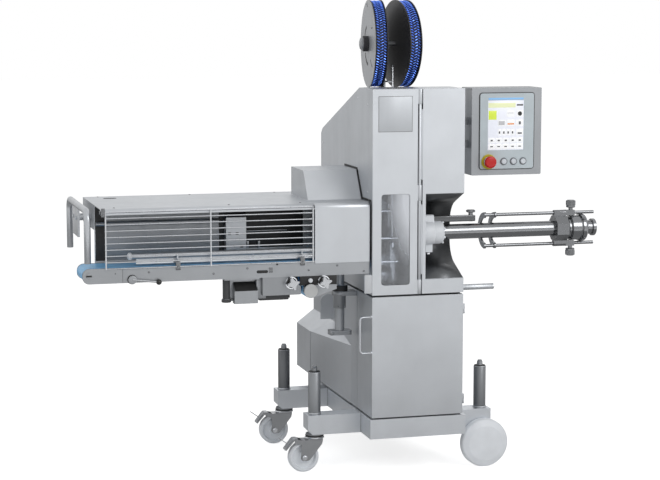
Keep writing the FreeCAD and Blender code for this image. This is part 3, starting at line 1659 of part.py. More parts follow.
def conveyor_moving_pieces():
    """Belt, rollers, tension lever, star knobs and the product guide."""
    inside = belt_loop("belt_inside", d.belt_radius - d.belt_thick)
    finish(cut("belt", belt_loop("belt_outside", d.belt_radius), inside))
    roller = d.belt_radius - d.belt_thick - d.seat
    front, back = d.belt_front, d.belt_back
    j = d.journal
    side_in, back_in = d.side_front + d.sheet, d.side_back - d.sheet
    finish(
        turned(
            "tail_roller",
            "y",
            [
                (d.side_front - 2, 0),
                (d.side_front - 2, j),
                (side_in + 1, j),
                (front + 1, roller - 4),
                (front + 3, roller),
                (back - 3, roller),
                (back - 1, roller - 4),
                (back_in - 1, j),
                (d.side_back, j),
                (d.side_back, 0),
            ],
            (d.tail_x, 0, d.belt_z),
        )
    )
    disc = d.side_front - 6
    hanger_in = side_in + 4
    finish(
        turned(
            "drive_roller",
            "y",
            [
                (disc - 10, 0),
                (disc - 10, 26.5, 2),
                (disc, 26.5, 1),
                (disc, j),
                (hanger_in + 1, j),
                (hanger_in + 1, roller - 2),
                (hanger_in + 3, roller),
                (back - 1, roller),
                (back_in - 1, roller - 2),
                (back_in - 1, j),
                (d.side_back, j),
                (d.side_back, 0),
            ],
            (d.drive_x, 0, d.drive_z),
        )
    )
    hub_front = d.side_front - 12
    hub = rod("lever_hub", "y", 16.5, (d.lever_x, hub_front, d.lever_z), 12 - d.seat)
    pin = rod("lever_pin", "y", 6, (d.lever_x, hub_front, d.lever_z), 12 + d.sheet)
    reach, drop = 102, 12
    slope = math.degrees(math.atan2(drop, reach))
    arm = doc.addObject("Part::Cylinder", "lever_arm")
    arm.Radius = 4
    arm.Height = math.hypot(reach, drop)
    place(arm, (d.lever_x, hub_front + 1, d.lever_z), Rotation(Vector(0, 1, 0), 90 + slope))
    ball = doc.addObject("Part::Sphere", "lever_ball")
    ball.Radius = 10.5
    place(ball, (d.lever_x + reach, hub_front + 1, d.lever_z - drop))
    finish(joined("tension_lever", hub, pin, arm, ball))
    lobes = 4
    for name, x, seat_y in (
        ("left", d.drive_x - 77, d.side_front + d.sheet),
        ("right", d.drive_x + 55, d.side_front + d.sheet),
    ):
        corners = []
        for i in range(2 * lobes):
            angle = math.pi * (i + 0.35) / lobes
            radius, rounding = (d.star_radius, 4) if i % 2 == 0 else (d.star_radius * 0.42, 6)
            corners.append((x + radius * math.cos(angle), d.knob_low_z + radius * math.sin(angle), rounding))
        star = plate(f"star_{name}", "y", (d.star_front, d.star_front + 14), corners)
        stem_start = (x, d.star_front + 13, d.knob_low_z)
        stem_length = seat_y - d.seat - d.star_front - 13
        stem = rod(f"star_stem_{name}", "y", 10, stem_start, stem_length)
        shank = rod(f"star_shank_{name}", "y", 5, stem_start, seat_y + 4 - d.star_front - 13)
        finish(joined(f"star_knob_{name}", star, stem, shank))
    r = d.guide_tube_radius
    x0, x1 = d.guide_tube_left, d.conveyor_right - 4
    tube = cut(
        "guide_tube_hollow",
        rod("guide_tube", "x", r, (x0, d.guide_tube_y, d.guide_tube_z), x1 - x0),
        rod("guide_tube_bore", "x", r - 2, (x0 + 14, d.guide_tube_y, d.guide_tube_z), x1 - x0),
    )
    strip = block(
        "guide_strip",
        (x0 + 24, x1),
        (d.guide_tube_y - 2, d.guide_tube_y + 2),
        (d.guide_tube_z - 31, d.guide_tube_z - 9),
    )
    pieces = [tube, strip]
    for i, x in enumerate(guide_posts()):
        post_y = d.belt_front - 3.5
        post_start = (x, post_y, d.side_low + 30)
        pieces.append(rod(f"guide_post_rod_{i}", "z", 3, post_start, d.guide_tube_z - d.side_low - 30))
        arm_y = (post_y, d.guide_tube_y - r + 1.5)
        arm_z = (d.guide_tube_z - 4, d.guide_tube_z + 3)
        pieces.append(block(f"guide_post_arm_{i}", (x - 3, x + 3), arm_y, arm_z))
    finish(joined("product_guide", *pieces))


def hood_and_covers():
    """Bent hood, end cover with the raised box, end bow, terminal box and drive cover."""
    left, right = d.hood_left, d.hood_right
    front, back, top = d.side_front, d.hood_back, d.hood_top
    t = d.hood_sheet
    lip = top - 23
    hood = plate(
        "hood_sheet_metal",
        "x",
        (left, right),
        [
            (front, lip),
            (front, top, 20),
            (back, top),
            (back, d.rear_low),
            (d.tunnel_back + t, d.rear_low),
            (d.tunnel_back + t, d.side_high + 2),
            (d.tunnel_back, d.side_high + 2),
            (d.tunnel_back, d.rear_low + t),
            (back - t, d.rear_low + t),
            (back - t, top - t),
            (front + t, top - t, 17),
            (front + t, lip),
        ],
    )
    end_plate = plate(
        "hood_end",
        "x",
        (left, left + t),
        rectangle((d.tunnel_back, back - t / 2), (d.rear_low + t / 2, top - t / 2)),
    )
    guide_block = block(
        "tunnel_block",
        (d.stop_left, d.stop_right),
        (d.tunnel_back - 26, d.tunnel_back + 1),
        (d.stop_low, d.stop_high),
    )
    foot_strip = block(
        "tunnel_foot",
        (left, right),
        (d.side_back, d.tunnel_back + t),
        (d.side_high - 2, d.side_high + 2),
    )
    ear_y = (d.grille_y - 5, front + t)
    ears, bores = [], []
    for i, span in enumerate(((left, left + 13), (right - 5, right - 0.5))):
        ears.append(block(f"hinge_ear_{i}", span, ear_y, (d.grille_hinge_z - 7, d.grille_hinge_z + 6)))
        bores.append(
            rod(
                f"hinge_ear_bore_{i}",
                "x",
                d.grille_wire + d.fit,
                (span[0] - 1, d.grille_y, d.grille_hinge_z),
                span[1] - span[0] + 2,
            )
        )
    finish(cut("hood", joined("hood_solid", hood, end_plate, guide_block, foot_strip, *ears), *bores))

    end_left, end_right = right, d.conveyor_right
    s = d.sheet
    outer_front = front - s
    cover = plate(
        "end_cover_sheet",
        "x",
        (end_left, end_right),
        [
            (outer_front, d.cover_low),
            (outer_front, top, 20),
            (back, top),
            (back, d.cover_low),
            (d.tunnel_back, d.cover_low),
            (d.tunnel_back, top - s),
            (front, top - s, 16),
            (front, d.cover_low),
        ],
        loops=[rectangle((d.tunnel_back + s, back - s), (d.cover_low + s, top - s))],
    )
    ends = [
        block(f"end_cover_end_{i}", span, (d.tunnel_back, back), (d.cover_low, top))
        for i, span in enumerate(((end_left, end_left + t), (end_right - t, end_right)))
    ]
    slope_low, slope_high = d.line_y + 45, d.line_y + 120
    raised_back = d.hood_back - 99
    raised_profile = [
        (slope_low, top - 1),
        (raised_back, top - 1),
        (raised_back, d.raised_top),
        (slope_high, d.raised_top),
    ]
    raised = plate(
        "raised_box",
        "x",
        (d.raised_left, d.raised_right),
        raised_profile,
        loops=[
            [
                (slope_low + s + 3, top + s),
                (raised_back - s, top + s),
                (raised_back - s, d.raised_top - s),
                (slope_high + s - 1, d.raised_top - s),
            ]
        ],
    )
    raised_ends = [
        plate(f"raised_end_{i}", "x", span, raised_profile)
        for i, span in enumerate(((d.raised_left, d.raised_left + t), (d.raised_right - t, d.raised_right)))
    ]
    finish(joined("end_cover", cover, *ends, raised, *raised_ends))

    bow = bent_tube(
        "bow_tube_bent",
        [
            (d.bow_x, d.bow_front, d.bow_low),
            (d.bow_x, d.bow_front, d.bow_high),
            (d.bow_x, d.bow_back, d.bow_high),
            (d.bow_x, d.bow_back, d.bow_low),
        ],
        d.bow_tube,
        d.bow_tube * 3,
    )
    bow_plate = block(
        "bow_plate",
        (d.bow_x - 4, d.bow_x + 4),
        (d.bow_plate_front, d.bow_plate_back),
        (d.bow_high - 126, d.bow_high - 6),
    )
    spacers = [
        rod(f"bow_spacer_{i}", "x", 10, (d.bow_x, y, d.rear_low + 40), d.hood_left - d.bow_x)
        for i, y in enumerate((d.bow_plate_front + 32, d.bow_plate_back - 33))
    ]
    finish(joined("end_bow", bow, bow_plate, *spacers))

    side_in, back_in = d.side_front + s, d.side_back - s
    box = plate(
        "terminal_housing",
        "x",
        (d.terminal_left, d.terminal_right),
        [
            (d.terminal_front, d.terminal_low),
            (d.terminal_front, d.terminal_low + 51),
            (d.terminal_back, d.terminal_low + 81),
            (d.terminal_back, d.terminal_low),
        ],
    )
    plate_x = (d.terminal_left - 13, d.terminal_right + 3)
    back_plate = plate(
        "terminal_plate",
        "y",
        (d.terminal_back, d.terminal_back + s),
        rectangle(plate_x, (d.terminal_low + 7, d.side_low)),
    )
    channel = block(
        "terminal_channel",
        (d.post_x - 15, d.terminal_right + 3),
        (side_in, back_in),
        (d.side_low - 6, d.side_low + 2),
    )
    post_low = d.terminal_low + 10
    post = rod("terminal_post", "z", 14, (d.post_x, d.post_y, post_low), d.side_low - 3 - post_low)
    post_nut = rod("terminal_post_nut", "z", 17, (d.post_x, d.post_y, post_low - 5), 14)
    finish(joined("terminal_box", box, back_plate, channel, post, post_nut))

    cover_right = d.drive_x - 37
    drive = plate(
        "drive_housing",
        "y",
        (side_in, side_in + 90),
        [
            (cover_right - 155, d.drive_low, 4),
            (cover_right, d.drive_low, 4),
            (cover_right, d.drive_low + 31, 10),
            (cover_right - 44, d.side_low + 2, 20),
            (cover_right - 155, d.side_low + 2),
        ],
    )
    motor = block(
        "drive_unit",
        (cover_right - 161, cover_right - 44),
        (side_in + 30, side_in + 80),
        (d.drive_low - 22, d.drive_low + 1),
    )
    star_bore = rod("drive_star_bore", "y", 5 + d.fit, (d.drive_x - 77, side_in - 1, d.knob_low_z), 30)
    finish(cut("belt_drive_cover", joined("drive_cover_solid", drive, motor), star_bore))


def guard_grille():
    """Guard of round rods with three uprights, hung on its top rod."""
    wire = d.grille_wire
    y = d.grille_y
    count = 10
    pieces = []
    for i in range(count):
        z = d.grille_hinge_z - d.grille_pitch * i
        start = d.hood_left + 2 if i == 0 else d.grille_left - 3
        end = d.hood_right - 1 if i == 0 else d.grille_right + 3
        pieces.append(rod(f"grille_rod_{i}", "x", wire, (start, y, z), end - start))
    bottom = d.grille_hinge_z - d.grille_pitch * (count - 1)
    for i, x in enumerate((d.grille_left, (d.grille_left + d.grille_right) / 2, d.grille_right)):
        upright_z = (bottom - 3, d.grille_hinge_z + 3)
        pieces.append(block(f"grille_upright_{i}", (x - 2.5, x + 2.5), (y - 2.7, y), upright_z))
    finish(joined("guard_grille", *pieces))


undercarriage()
lower_cabinet()
lower_inside()
closing_mechanism()
tower_housing()
upper_door()
clip_supply()
horn_side()
operator_panel()
conveyor_column()
conveyor_frame()
conveyor_moving_pieces()
hood_and_covers()
guard_grille()
doc.recompute()

for item in doc.Objects:
    if "Invalid" in item.State or "Error" in item.State:
        raise RuntimeError(f"{item.Label} did not compute: {item.State}")

os.makedirs("parts", exist_ok=True)
for item in nodes:
    shape = item.Shape
    if shape.isNull() or not shape.isValid() or not shape.Solids:
        raise RuntimeError(f"{item.Label} has no valid solid")
    shape.exportStep(f"parts/{item.Label}.step")
print(len(nodes), "sub-parts written")
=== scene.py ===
import math

import bmesh
import bpy
from mathutils import Matrix, Vector


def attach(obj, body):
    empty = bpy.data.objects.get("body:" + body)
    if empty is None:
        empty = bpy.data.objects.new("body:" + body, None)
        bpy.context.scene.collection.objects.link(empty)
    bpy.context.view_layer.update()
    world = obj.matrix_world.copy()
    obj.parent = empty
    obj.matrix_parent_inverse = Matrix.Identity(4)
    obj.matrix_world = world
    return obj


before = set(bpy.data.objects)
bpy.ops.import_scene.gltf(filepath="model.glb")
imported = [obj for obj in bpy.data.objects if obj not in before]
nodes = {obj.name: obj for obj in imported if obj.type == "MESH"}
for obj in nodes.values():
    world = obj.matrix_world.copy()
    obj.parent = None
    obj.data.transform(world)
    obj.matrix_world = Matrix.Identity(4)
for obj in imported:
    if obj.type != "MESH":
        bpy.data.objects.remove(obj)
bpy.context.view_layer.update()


# Base frame: 80 mm square stainless tube, mitred and welded into a plinth with four arms, then
# blasted with glass beads to an even satin grey. Four round jack tubes stand welded on the arms,
# each closed at the top by a rubber scraper.


def new_material(name, colour, metallic, roughness):
    """A principled material with its plain values set on the shader itself."""
    material = bpy.data.materials.new(name)
    material.use_nodes = True
    shader = material.node_tree.nodes["Principled BSDF"]
    shader.inputs["Base Color"].default_value = (*colour, 1)
    shader.inputs["Metallic"].default_value = metallic
    shader.inputs["Roughness"].default_value = roughness
    return material, shader


def noise_over(material, scale, detail=3.0, stretch=(1, 1, 1)):
    """Noise in the piece's own metres, stretched along its grain."""
    tree = material.node_tree
    place = tree.nodes.new("ShaderNodeTexCoord")
    spread = tree.nodes.new("ShaderNodeMapping")
    spread.inputs["Scale"].default_value = stretch
    noise = tree.nodes.new("ShaderNodeTexNoise")
    noise.inputs["Scale"].default_value = scale
    noise.inputs["Detail"].default_value = detail
    tree.links.new(place.outputs["Object"], spread.inputs["Vector"])
    tree.links.new(spread.outputs["Vector"], noise.inputs["Vector"])
    return noise.outputs["Fac"]


noise_span = (0.3, 0.7)


def map_range(tree, value, source=(0.0, 1.0), target=(0.0, 1.0)):
    """A node that carries a number from one range into another."""
    node = tree.nodes.new("ShaderNodeMapRange")
    for socket, number in zip(("From Min", "From Max", "To Min", "To Max"), (*source, *target)):
        node.inputs[socket].default_value = number
    tree.links.new(value, node.inputs["Value"])
    return node


def reckon(tree, operation, *values):
    """A sum on numbers, each of them another node's result or a constant."""
    node = tree.nodes.new("ShaderNodeMath")
    node.operation = operation
    for socket, value in zip(node.inputs, values):
        if isinstance(value, float):
            socket.default_value = value
        else:
            tree.links.new(value, socket)
    return node.outputs[0]


def steer(material, shader, socket, noise, low, high):
    """Drives one number of the shader by noise, between two values."""
    tree = material.node_tree
    spread = map_range(tree, noise, noise_span, (low, high))
    tree.links.new(spread.outputs["Result"], shader.inputs[socket])


def tint(material, shader, noise, first, second):
    """Mixes two colours by noise into the base colour."""
    tree = material.node_tree
    mix = tree.nodes.new("ShaderNodeMix")
    mix.data_type = "RGBA"
    mix.inputs["A"].default_value = (*first, 1)
    mix.inputs["B"].default_value = (*second, 1)
    spread = map_range(tree, noise, noise_span)
    tree.links.new(spread.outputs["Result"], mix.inputs["Factor"])
    tree.links.new(mix.outputs["Result"], shader.inputs["Base Color"])


def roughen(material, shader, noise, distance, strength):
    """Turns noise into a bump of a real height in metres."""
    tree = material.node_tree
    bump = tree.nodes.new("ShaderNodeBump")
    bump.inputs["Distance"].default_value = distance
    bump.inputs["Strength"].default_value = strength
    tree.links.new(noise, bump.inputs["Height"])
    tree.links.new(bump.outputs["Normal"], shader.inputs["Normal"])


def satin_steel(name, tone, roughness=0.42, metallic=0.85):
    """Stainless steel blasted with glass beads: fine even grain with faint cloudy marks."""
    colour = (tone * 0.945, tone * 0.982, tone * 1.03)
    material, shader = new_material(name, colour, metallic, roughness)
    clouds = noise_over(material, 7.0)
    darker = tuple(c * 0.93 for c in colour)
    tint(material, shader, clouds, darker, colour)
    grain = noise_over(material, 1500.0, 2.0)
    roughen(material, shader, grain, 0.0002, 0.25)
    wiped = noise_over(material, 24.0, stretch=(1, 1, 0.2))
    steer(material, shader, "Roughness", wiped, roughness - 0.04, roughness + 0.05)
    return material


def rubber(name, tone, roughness=0.6):
    """Black rubber or foam strip with a fine dull grain."""
    material, shader = new_material(name, (tone, tone, tone * 1.08), 0.0, roughness)
    dust = noise_over(material, 60.0)
    tint(material, shader, dust, (tone, tone, tone * 1.08), (tone * 1.8, tone * 1.8, tone * 1.8))
    grain = noise_over(material, 1200.0, 2.0)
    roughen(material, shader, grain, 0.0002, 0.4)
    return material


def dress(material, *names, edge=0.0):
    """Gives carried-over nodes their material, and rounds their edges where a width is given."""
    for name in names:
        for place in nodes[name].material_slots:
            place.material = material
    if edge:
        soften(edge, *names)


def soften(width, *names):
    """Rounds the sharp sheet edges of carried-over nodes, so that they catch the light."""
    for name in names:
        weld = nodes[name].modifiers.new("weld", "WELD")
        weld.merge_threshold = 0.00002
        bevel = nodes[name].modifiers.new("bevel", "BEVEL")
        bevel.width = width * 0.001
        bevel.segments = 2
        bevel.limit_method = "ANGLE"
        bevel.angle_limit = math.radians(40)
        bevel.use_clamp_overlap = True
        bevel.harden_normals = True


def bridge(bm, rings, closed=False):
    """Joins rings of as many points each by a skin, which gets end caps unless it is closed."""
    pairs = list(zip(rings, rings[1:]))
    if closed:
        pairs.append((rings[-1], rings[0]))
    else:
        bm.faces.new(rings[0])
        bm.faces.new(rings[-1])
    for first, second in pairs:
        for k in range(len(first)):
            j = (k + 1) % len(first)
            bm.faces.new((first[k], first[j], second[j], second[k]))


def add_tube(bm, points, radii, sides=8, closed=False):
    """A tube through points, with one radius or one for each point."""
    points = [Vector(point) for point in points]
    count = len(points)
    if not isinstance(radii, list):
        radii = [radii] * count
    rings, across = [], None
    for i, point in enumerate(points):
        before = points[i - 1] if closed or i > 0 else point
        after = points[(i + 1) % count] if closed or i + 1 < count else point
        along = (after - before).normalized()
        if across is None:
            across = along.orthogonal().normalized()
        across = (across - along * across.dot(along)).normalized()
        other = along.cross(across)
        ring = []
        for k in range(sides):
            turn = 2 * math.pi * k / sides
            ring.append(bm.verts.new(point + (across * math.cos(turn) + other * math.sin(turn)) * radii[i]))
        rings.append(ring)
    bridge(bm, rings, closed)


def evenly(points, step):
    """A path's points with others between them, about a step apart."""
    points = [Vector(point) for point in points]
    dense = [points[0]]
    for start, end in zip(points, points[1:]):
        parts = max(1, round((end - start).length / step))
        dense += [start.lerp(end, (i + 1) / parts) for i in range(parts)]
    return dense


def axes(direction):
    """An axis and two directions square to it, all of length one."""
    along = Vector(direction).normalized()
    across = along.orthogonal().normalized()
    return along, across, along.cross(across)


def circle(centre, direction, radius, count):
    """Points round an axis."""
    along, across, other = axes(direction)
    turns = [2 * math.pi * i / count for i in range(count)]
    return [Vector(centre) + (across * math.cos(t) + other * math.sin(t)) * radius for t in turns]


def add_bead(bm, points, radius, closed=False):
    """A weld bead: a tube whose thickness ripples along it."""
    radii = [radius * (1.0 if i % 2 else 0.82) for i in range(len(points))]
    add_tube(bm, points, radii, 6, closed)


def add_turned(bm, profile, place, direction, sides=32, notch=0.0, closed=False):
    """A form turned round an axis from (along, radius) points. A notch knurls it."""
    along, across, other = axes(direction)
    rings = []
    for step, radius in profile:
        centre = Vector(place) + along * step
        ring = []
        for i in range(sides if radius else 1):
            turn = 2 * math.pi * i / sides
            reach = radius - notch * (i % 2) if radius else 0
            ring.append(bm.verts.new(centre + (across * math.cos(turn) + other * math.sin(turn)) * reach))
        rings.append(ring)
    pairs = list(zip(rings, rings[1:]))
    if closed:
        pairs.append((rings[-1], rings[0]))
    for first, second in pairs:
        for i in range(sides):
            j = (i + 1) % sides
            corners = [first[i % len(first)], first[j % len(first)]]
            corners += [second[j % len(second)], second[i % len(second)]]
            corners = list(dict.fromkeys(corners))
            if len(corners) > 2:
                bm.faces.new(corners)


def placed(name, data):
    """A new object that holds some data and stands in the scene."""
    thing = bpy.data.objects.new(name, data)
    bpy.context.scene.collection.objects.link(thing)
    return thing


def new_piece(name, bm, material, body, turn=None):
    """Turns a form drawn in millimetres into a piece that rides on a body."""
    if turn is not None:
        bmesh.ops.transform(bm, matrix=turn, verts=bm.verts)
    bmesh.ops.scale(bm, vec=(0.001, 0.001, 0.001), verts=bm.verts)
    bmesh.ops.recalc_face_normals(bm, faces=bm.faces)
    mesh = bpy.data.meshes.new(name)
    bm.to_mesh(mesh)
    bm.free()
    mesh.shade_smooth()
    mesh.set_sharp_from_angle(angle=math.radians(35))
    mesh.materials.append(material)
    piece = placed(name, mesh)
    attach(piece, body)
    return piece


def single_form(name, material, body, slot, draw, *form, turn=None, **more):
    """A piece that is drawn by one call of one of the functions here."""
    bm = bmesh.new()
    draw(bm, *form, **more)
    new_piece(name, bm, material, body, turn)


housing_steel = satin_steel("housing_steel", 0.57)
frame_steel = satin_steel("frame_steel", 0.69)
weld_steel = satin_steel("weld_steel", 0.34, 0.34)
black_rubber = rubber("black_rubber", 0.012)
dress(frame_steel, "base_frame", edge=1.5)
posts = ((-114, -288), (-114, 230), (581, -338), (581, 280))
arm_top = 240
jack_top = 411
beads = bmesh.new()
scrapers = bmesh.new()
for x, y in posts:
    add_bead(beads, circle((x, y, arm_top - 2), (0, 0, 1), 26.3, 60), 2.2, True)
    root = 71.4 if x < 0 else 476.6
    seam = [(root, y - 40.6, 158), (root, y - 40.6, arm_top - 2.4)]
    seam += [(root, y + 40.6, arm_top - 2.4), (root, y + 40.6, 158)]
    add_bead(beads, evenly(seam, 3), 1.6)
    lip = [(0, 12.6), (0, 24), (1.4, 24.4), (3, 22), (3.6, 14), (2.6, 12.6)]
    add_turned(scrapers, lip, (x, y, jack_top + 0.1), (0, 0, 1), 36, closed=True)
new_piece("frame_welds", beads, weld_steel, "machine")
new_piece("jack_scrapers", scrapers, black_rubber, "machine")
corner_names = ("front_left", "rear_left", "front_right", "rear_right")
# The jack tubes share one satin steel in four tones of painted shade: darkest on the rear left tube, which
# stands behind and under the bulge, lightest on the front left.
jack_shade_tones = (0.3, 0.17, 0.22, 0.22)
for (x, y), name, tone in zip(posts, corner_names, jack_shade_tones):
    wall = [(0, 24.8), (0, 25.5), (166, 25.5), (167, 24.8)]
    shaded_jack_steel = satin_steel("jack_steel_" + name, tone, 0.4)
    single_form("jack_sleeve_" + name, shaded_jack_steel, "machine", "stainless",
                add_turned, wall, (x, y, arm_top + 3), (0, 0, 1), 40, closed=True)


# Jack spindles: stainless screws in the jack tubes, which lift each castor or wheel to level the
# machine on the floor. Their ends show above the tubes, with a hexagon to turn them by.

dark_steel = satin_steel("dark_steel", 0.3, 0.35)
dress(dark_steel, "front_left_spindle", "rear_left_spindle")
dress(dark_steel, "front_right_axle_bracket", "rear_right_axle_bracket", edge=1.0)
spindle_bodies = ("front_left_spindle", "rear_left_spindle", "front_right_bracket", "rear_right_bracket")
for body, (x, y) in zip(spindle_bodies, posts):
    hexagon = [(0, 0), (0, 9.6), (8.4, 9.6), (9.6, 8.4), (9.6, 0)]
    single_form(body + "_hexagon", dark_steel, body, "stainless",
                add_turned, hexagon, (x, y, jack_top + 15), (0, 0, 1), 6)


# Castors: stainless pressed forks with a swivel race, white nylon wheels on bolts with hexagon
# nuts, and a bent brake pedal on the trailing side with its wire release.


def polished_steel(name, tone, roughness=0.2):
    """Ground and polished stainless steel, with fine lines round or along the piece."""
    colour = (tone * 0.955, tone * 0.98, tone * 1.02)
    material, shader = new_material(name, colour, 1.0, roughness)
    lines = noise_over(material, 60.0, stretch=(3, 3, 3))
    steer(material, shader, "Roughness", lines, roughness - 0.05, roughness + 0.07)
    marks = noise_over(material, 260.0, 4.0)
    roughen(material, shader, marks, 0.0001, 0.08)
    return material


def moulded(name, colour, roughness, grain=0.00012):
    """Moulded plastic with a faint grain and small differences of tone."""
    material, shader = new_material(name, colour, 0.0, roughness)
    clouds = noise_over(material, 14.0)
    darker = tuple(c * 0.92 for c in colour)
    tint(material, shader, clouds, darker, colour)
    fine = noise_over(material, 900.0, 2.0)
    roughen(material, shader, fine, grain, 0.3)
    return material


def add_hex(bm, place, direction, radius, height):
    """A hexagon head or nut with turned-off corners, on its washer."""
    washer = radius * 1.25
    add_turned(bm, [(0, 0), (0, washer), (1.2, washer), (1.2, 0)], place, direction, 28)
    head = [(1.2, 0), (1.2, radius), (height - 0.8, radius), (height, radius * 0.86), (height, 0)]
    add_turned(bm, head, place, direction, 6)


fork_steel = polished_steel("fork_steel", 0.38, 0.34)
bright_steel = polished_steel("bright_steel", 0.72, 0.2)
white_nylon = moulded("white_nylon", (0.88, 0.91, 0.95), 0.4)
dress(fork_steel, "front_left_fork", "rear_left_fork", "front_left_pedal", "rear_left_pedal", edge=1.0)
dress(white_nylon, "front_left_wheel", "rear_left_wheel")
axle_offset, axle_height, fork_half = 48, 62.5, 30.5
for castor, (x, y) in zip(corner_names[:2], posts):
    section = [(0, 36), (0.4, 39.5), (2.4, 40.6), (4.2, 39), (4.6, 36)]
    single_form(castor + "_race_rim", bright_steel, castor + "_fork", "polished_steel",
                add_turned, section, (x, y, 139), (0, 0, 1), 48, closed=True)
    section = [(0, 36), (0, 37.4), (4, 37.8), (6, 36)]
    single_form(castor + "_race_seal", black_rubber, castor + "_spindle", "reel_black",
                add_turned, section, (x, y, 145.6), (0, 0, 1), 48, closed=True)
    bolt = bmesh.new()
    front_end = (x - axle_offset, y - fork_half, axle_height)
    add_hex(bolt, front_end, (0, -1, 0), 8.8, 7)
    add_turned(bolt, [(6, 0), (6, 5), (9, 4.4), (9, 0)], front_end, (0, -1, 0), 20)
    add_hex(bolt, (x - axle_offset, y + fork_half, axle_height), (0, 1, 0), 8.8, 6)
    new_piece(castor + "_axle_nuts", bolt, bright_steel, castor + "_fork")
    tread = bmesh.new()
    for offset in (-15, -5, 5, 15):
        rib = [(x - 92, y + offset, 141.6), (x - 97, y + offset, 137), (x - 124, y + offset, 103)]
        add_tube(tread, rib, [1.4, 2.0, 1.6], 8)
    add_tube(tread, [(x - 112, y + 8, 116), (x - 130, y + 9, 129), (x - 150, y + 10, 143)], 1.7, 8)
    new_piece(castor + "_pedal_ribs", tread, fork_steel, castor + "_pedal")
    studs = bmesh.new()
    for offset in (-11, 11):
        spot = (x - 125.6, y + offset, 96.5)
        add_turned(studs, [(0, 0), (0, 4.2), (0.9, 3.6), (0.9, 0)], spot, (-0.78, 0, 0.62), 18)
    new_piece(castor + "_pedal_studs", studs, black_rubber, castor + "_pedal")


# Fixed wheels: two large white nylon discs beside the right arms, domed on the outside, on
# pressed axle brackets that are bolted under the arms.

wheel_nylon = moulded("wheel_nylon", (0.88, 0.91, 0.95), 0.42)
dress(wheel_nylon, "front_right_wheel", "rear_right_wheel")
for body, (x, y), out in zip(spindle_bodies[2:], posts[2:], (-1, 1)):
    bolts = bmesh.new()
    for side in (-21, 21):
        add_hex(bolts, (x + side, y - out * 22, 145), (0, 0, -1), 7, 6.5)
    add_hex(bolts, (x, y + out * 22, 100), (0, -out, 0), 11, 8)
    new_piece(body + "_bolts", bolts, bright_steel, body)


# Lower cabinet: a satin sheet housing with a flared bulge on its left side for the drive, and a
# lift-off door with a bent wire handle. Rubber strips close the joints above, below and behind
# the door. The back has a louvred service panel.


def add_slab(bm, low, high, edge):
    """A block between two corners with its edges rounded."""
    made = bmesh.ops.create_cube(bm, size=1.0)["verts"]
    for vertex in made:
        vertex.co = Vector([low[i] + (vertex.co[i] + 0.5) * (high[i] - low[i]) for i in range(3)])
    edges = list({edge_of for vertex in made for edge_of in vertex.link_edges})
    bmesh.ops.bevel(bm, geom=edges, offset=edge, segments=2, profile=0.5, affect="EDGES")


def add_strip(bm, points, out, half, depth, closed=False):
    """A flat band along points, half its width each way, raised towards out."""
    points = [Vector(point) for point in points]
    out = Vector(out).normalized()
    count = len(points)
    rings = []
    for i, point in enumerate(points):
        runs = []
        if closed or i > 0:
            runs.append((point - points[i - 1]).normalized())
        if closed or i + 1 < count:
            runs.append((points[(i + 1) % count] - point).normalized())
        sides = [run.cross(out) for run in runs]
        middle = (sides[0] + sides[-1]).normalized()
        reach = middle * half / max(0.4, middle.dot(sides[0]))
        corners = (point - reach, point + reach, point + reach + out * depth, point - reach + out * depth)
        rings.append([bm.verts.new(corner) for corner in corners])
    bridge(bm, rings, closed)


def add_screw(bm, place, direction, radius=4.0, height=2.6):
    """A button-head screw with its socket."""
    profile = [
        (0, 0),
        (0, radius),
        (height * 0.35, radius),
        (height * 0.8, radius * 0.82),
        (height, radius * 0.6),
        (height, radius * 0.42),
        (height * 0.45, radius * 0.42),
        (height * 0.45, 0),
    ]
    add_turned(bm, profile, place, direction, 20)


dress(housing_steel, "cabinet_shell", "lower_door", edge=1.2)
strips = bmesh.new()
add_slab(strips, (90, -443, 733.4), (454, 318, 740.6), 0.8)
add_slab(strips, (86, -452, 237.3), (458, 452, 241.7), 0.8)
seal = [(87, -454.5, 246), (457, -454.5, 246), (457, -454.5, 729), (87, -454.5, 729)]
add_strip(strips, seal, (0, -1, 0), 2.4, 1.3, True)
new_piece("cabinet_seals", strips, black_rubber, "machine")
hem = bmesh.new()
add_tube(hem, [(80, -154, 242), (3.5, 223, 296.3), (3.5, 458, 296.3)], 2.1, 10)
add_tube(hem, [(2.6, 223, 297), (2.6, 223, 485)], 0.9, 8)
new_piece("bulge_hem", hem, weld_steel, "machine")
grip_feet = bmesh.new()
for z in (507, 653):
    add_turned(grip_feet, [(0, 0), (0, 9), (1.5, 9), (3.5, 5.4), (3.5, 0)], (80, -450, z), (-1, 0, 0), 28)
new_piece("handle_feet", grip_feet, bright_steel, "lower_door")
service = bmesh.new()
add_slab(service, (112, 460, 280), (432, 462, 700), 0.8)
for i in range(9):
    z = 560 + i * 13
    louvre = [(172, 462, z), (372, 462, z)]
    add_tube(service, evenly(louvre, 40), 4.2, 10)
for x in (124, 272, 420):
    for z in (292, 688):
        add_screw(service, (x, 462, z), (0, 1, 0))
new_piece("service_panel", service, housing_steel, "machine")
section = [(0, 0), (0, 17), (7, 17), (7, 14), (20, 13), (24, 9), (24, 0)]
single_form("supply_gland", black_rubber, "machine", "reel_black",
            add_turned, section, (150, 461, 262), (0, 1, 0), 12)


# Inside the cabinet: a grey painted gear motor and a rack of moulded control units.

motor_grey = moulded("motor_grey", (0.2, 0.22, 0.24), 0.5)
rack_grey = moulded("rack_grey", (0.45, 0.45, 0.44), 0.55)
dress(motor_grey, "drive_motor")
dress(rack_grey, "electrics_rack")
fins = bmesh.new()
for i in range(14):
    ring = circle((110, 262 + i * 11.5, 391), (0, 1, 0), 79.5, 48)
    add_tube(fins, ring, 1.8, 6, True)
new_piece("motor_fins", fins, motor_grey, "machine")


# Closing mechanism: a ground floor plate with guide posts, two gatherer plates, punch and die.
# Behind the window three bright bars and an upright guide hang on the door's side flange.

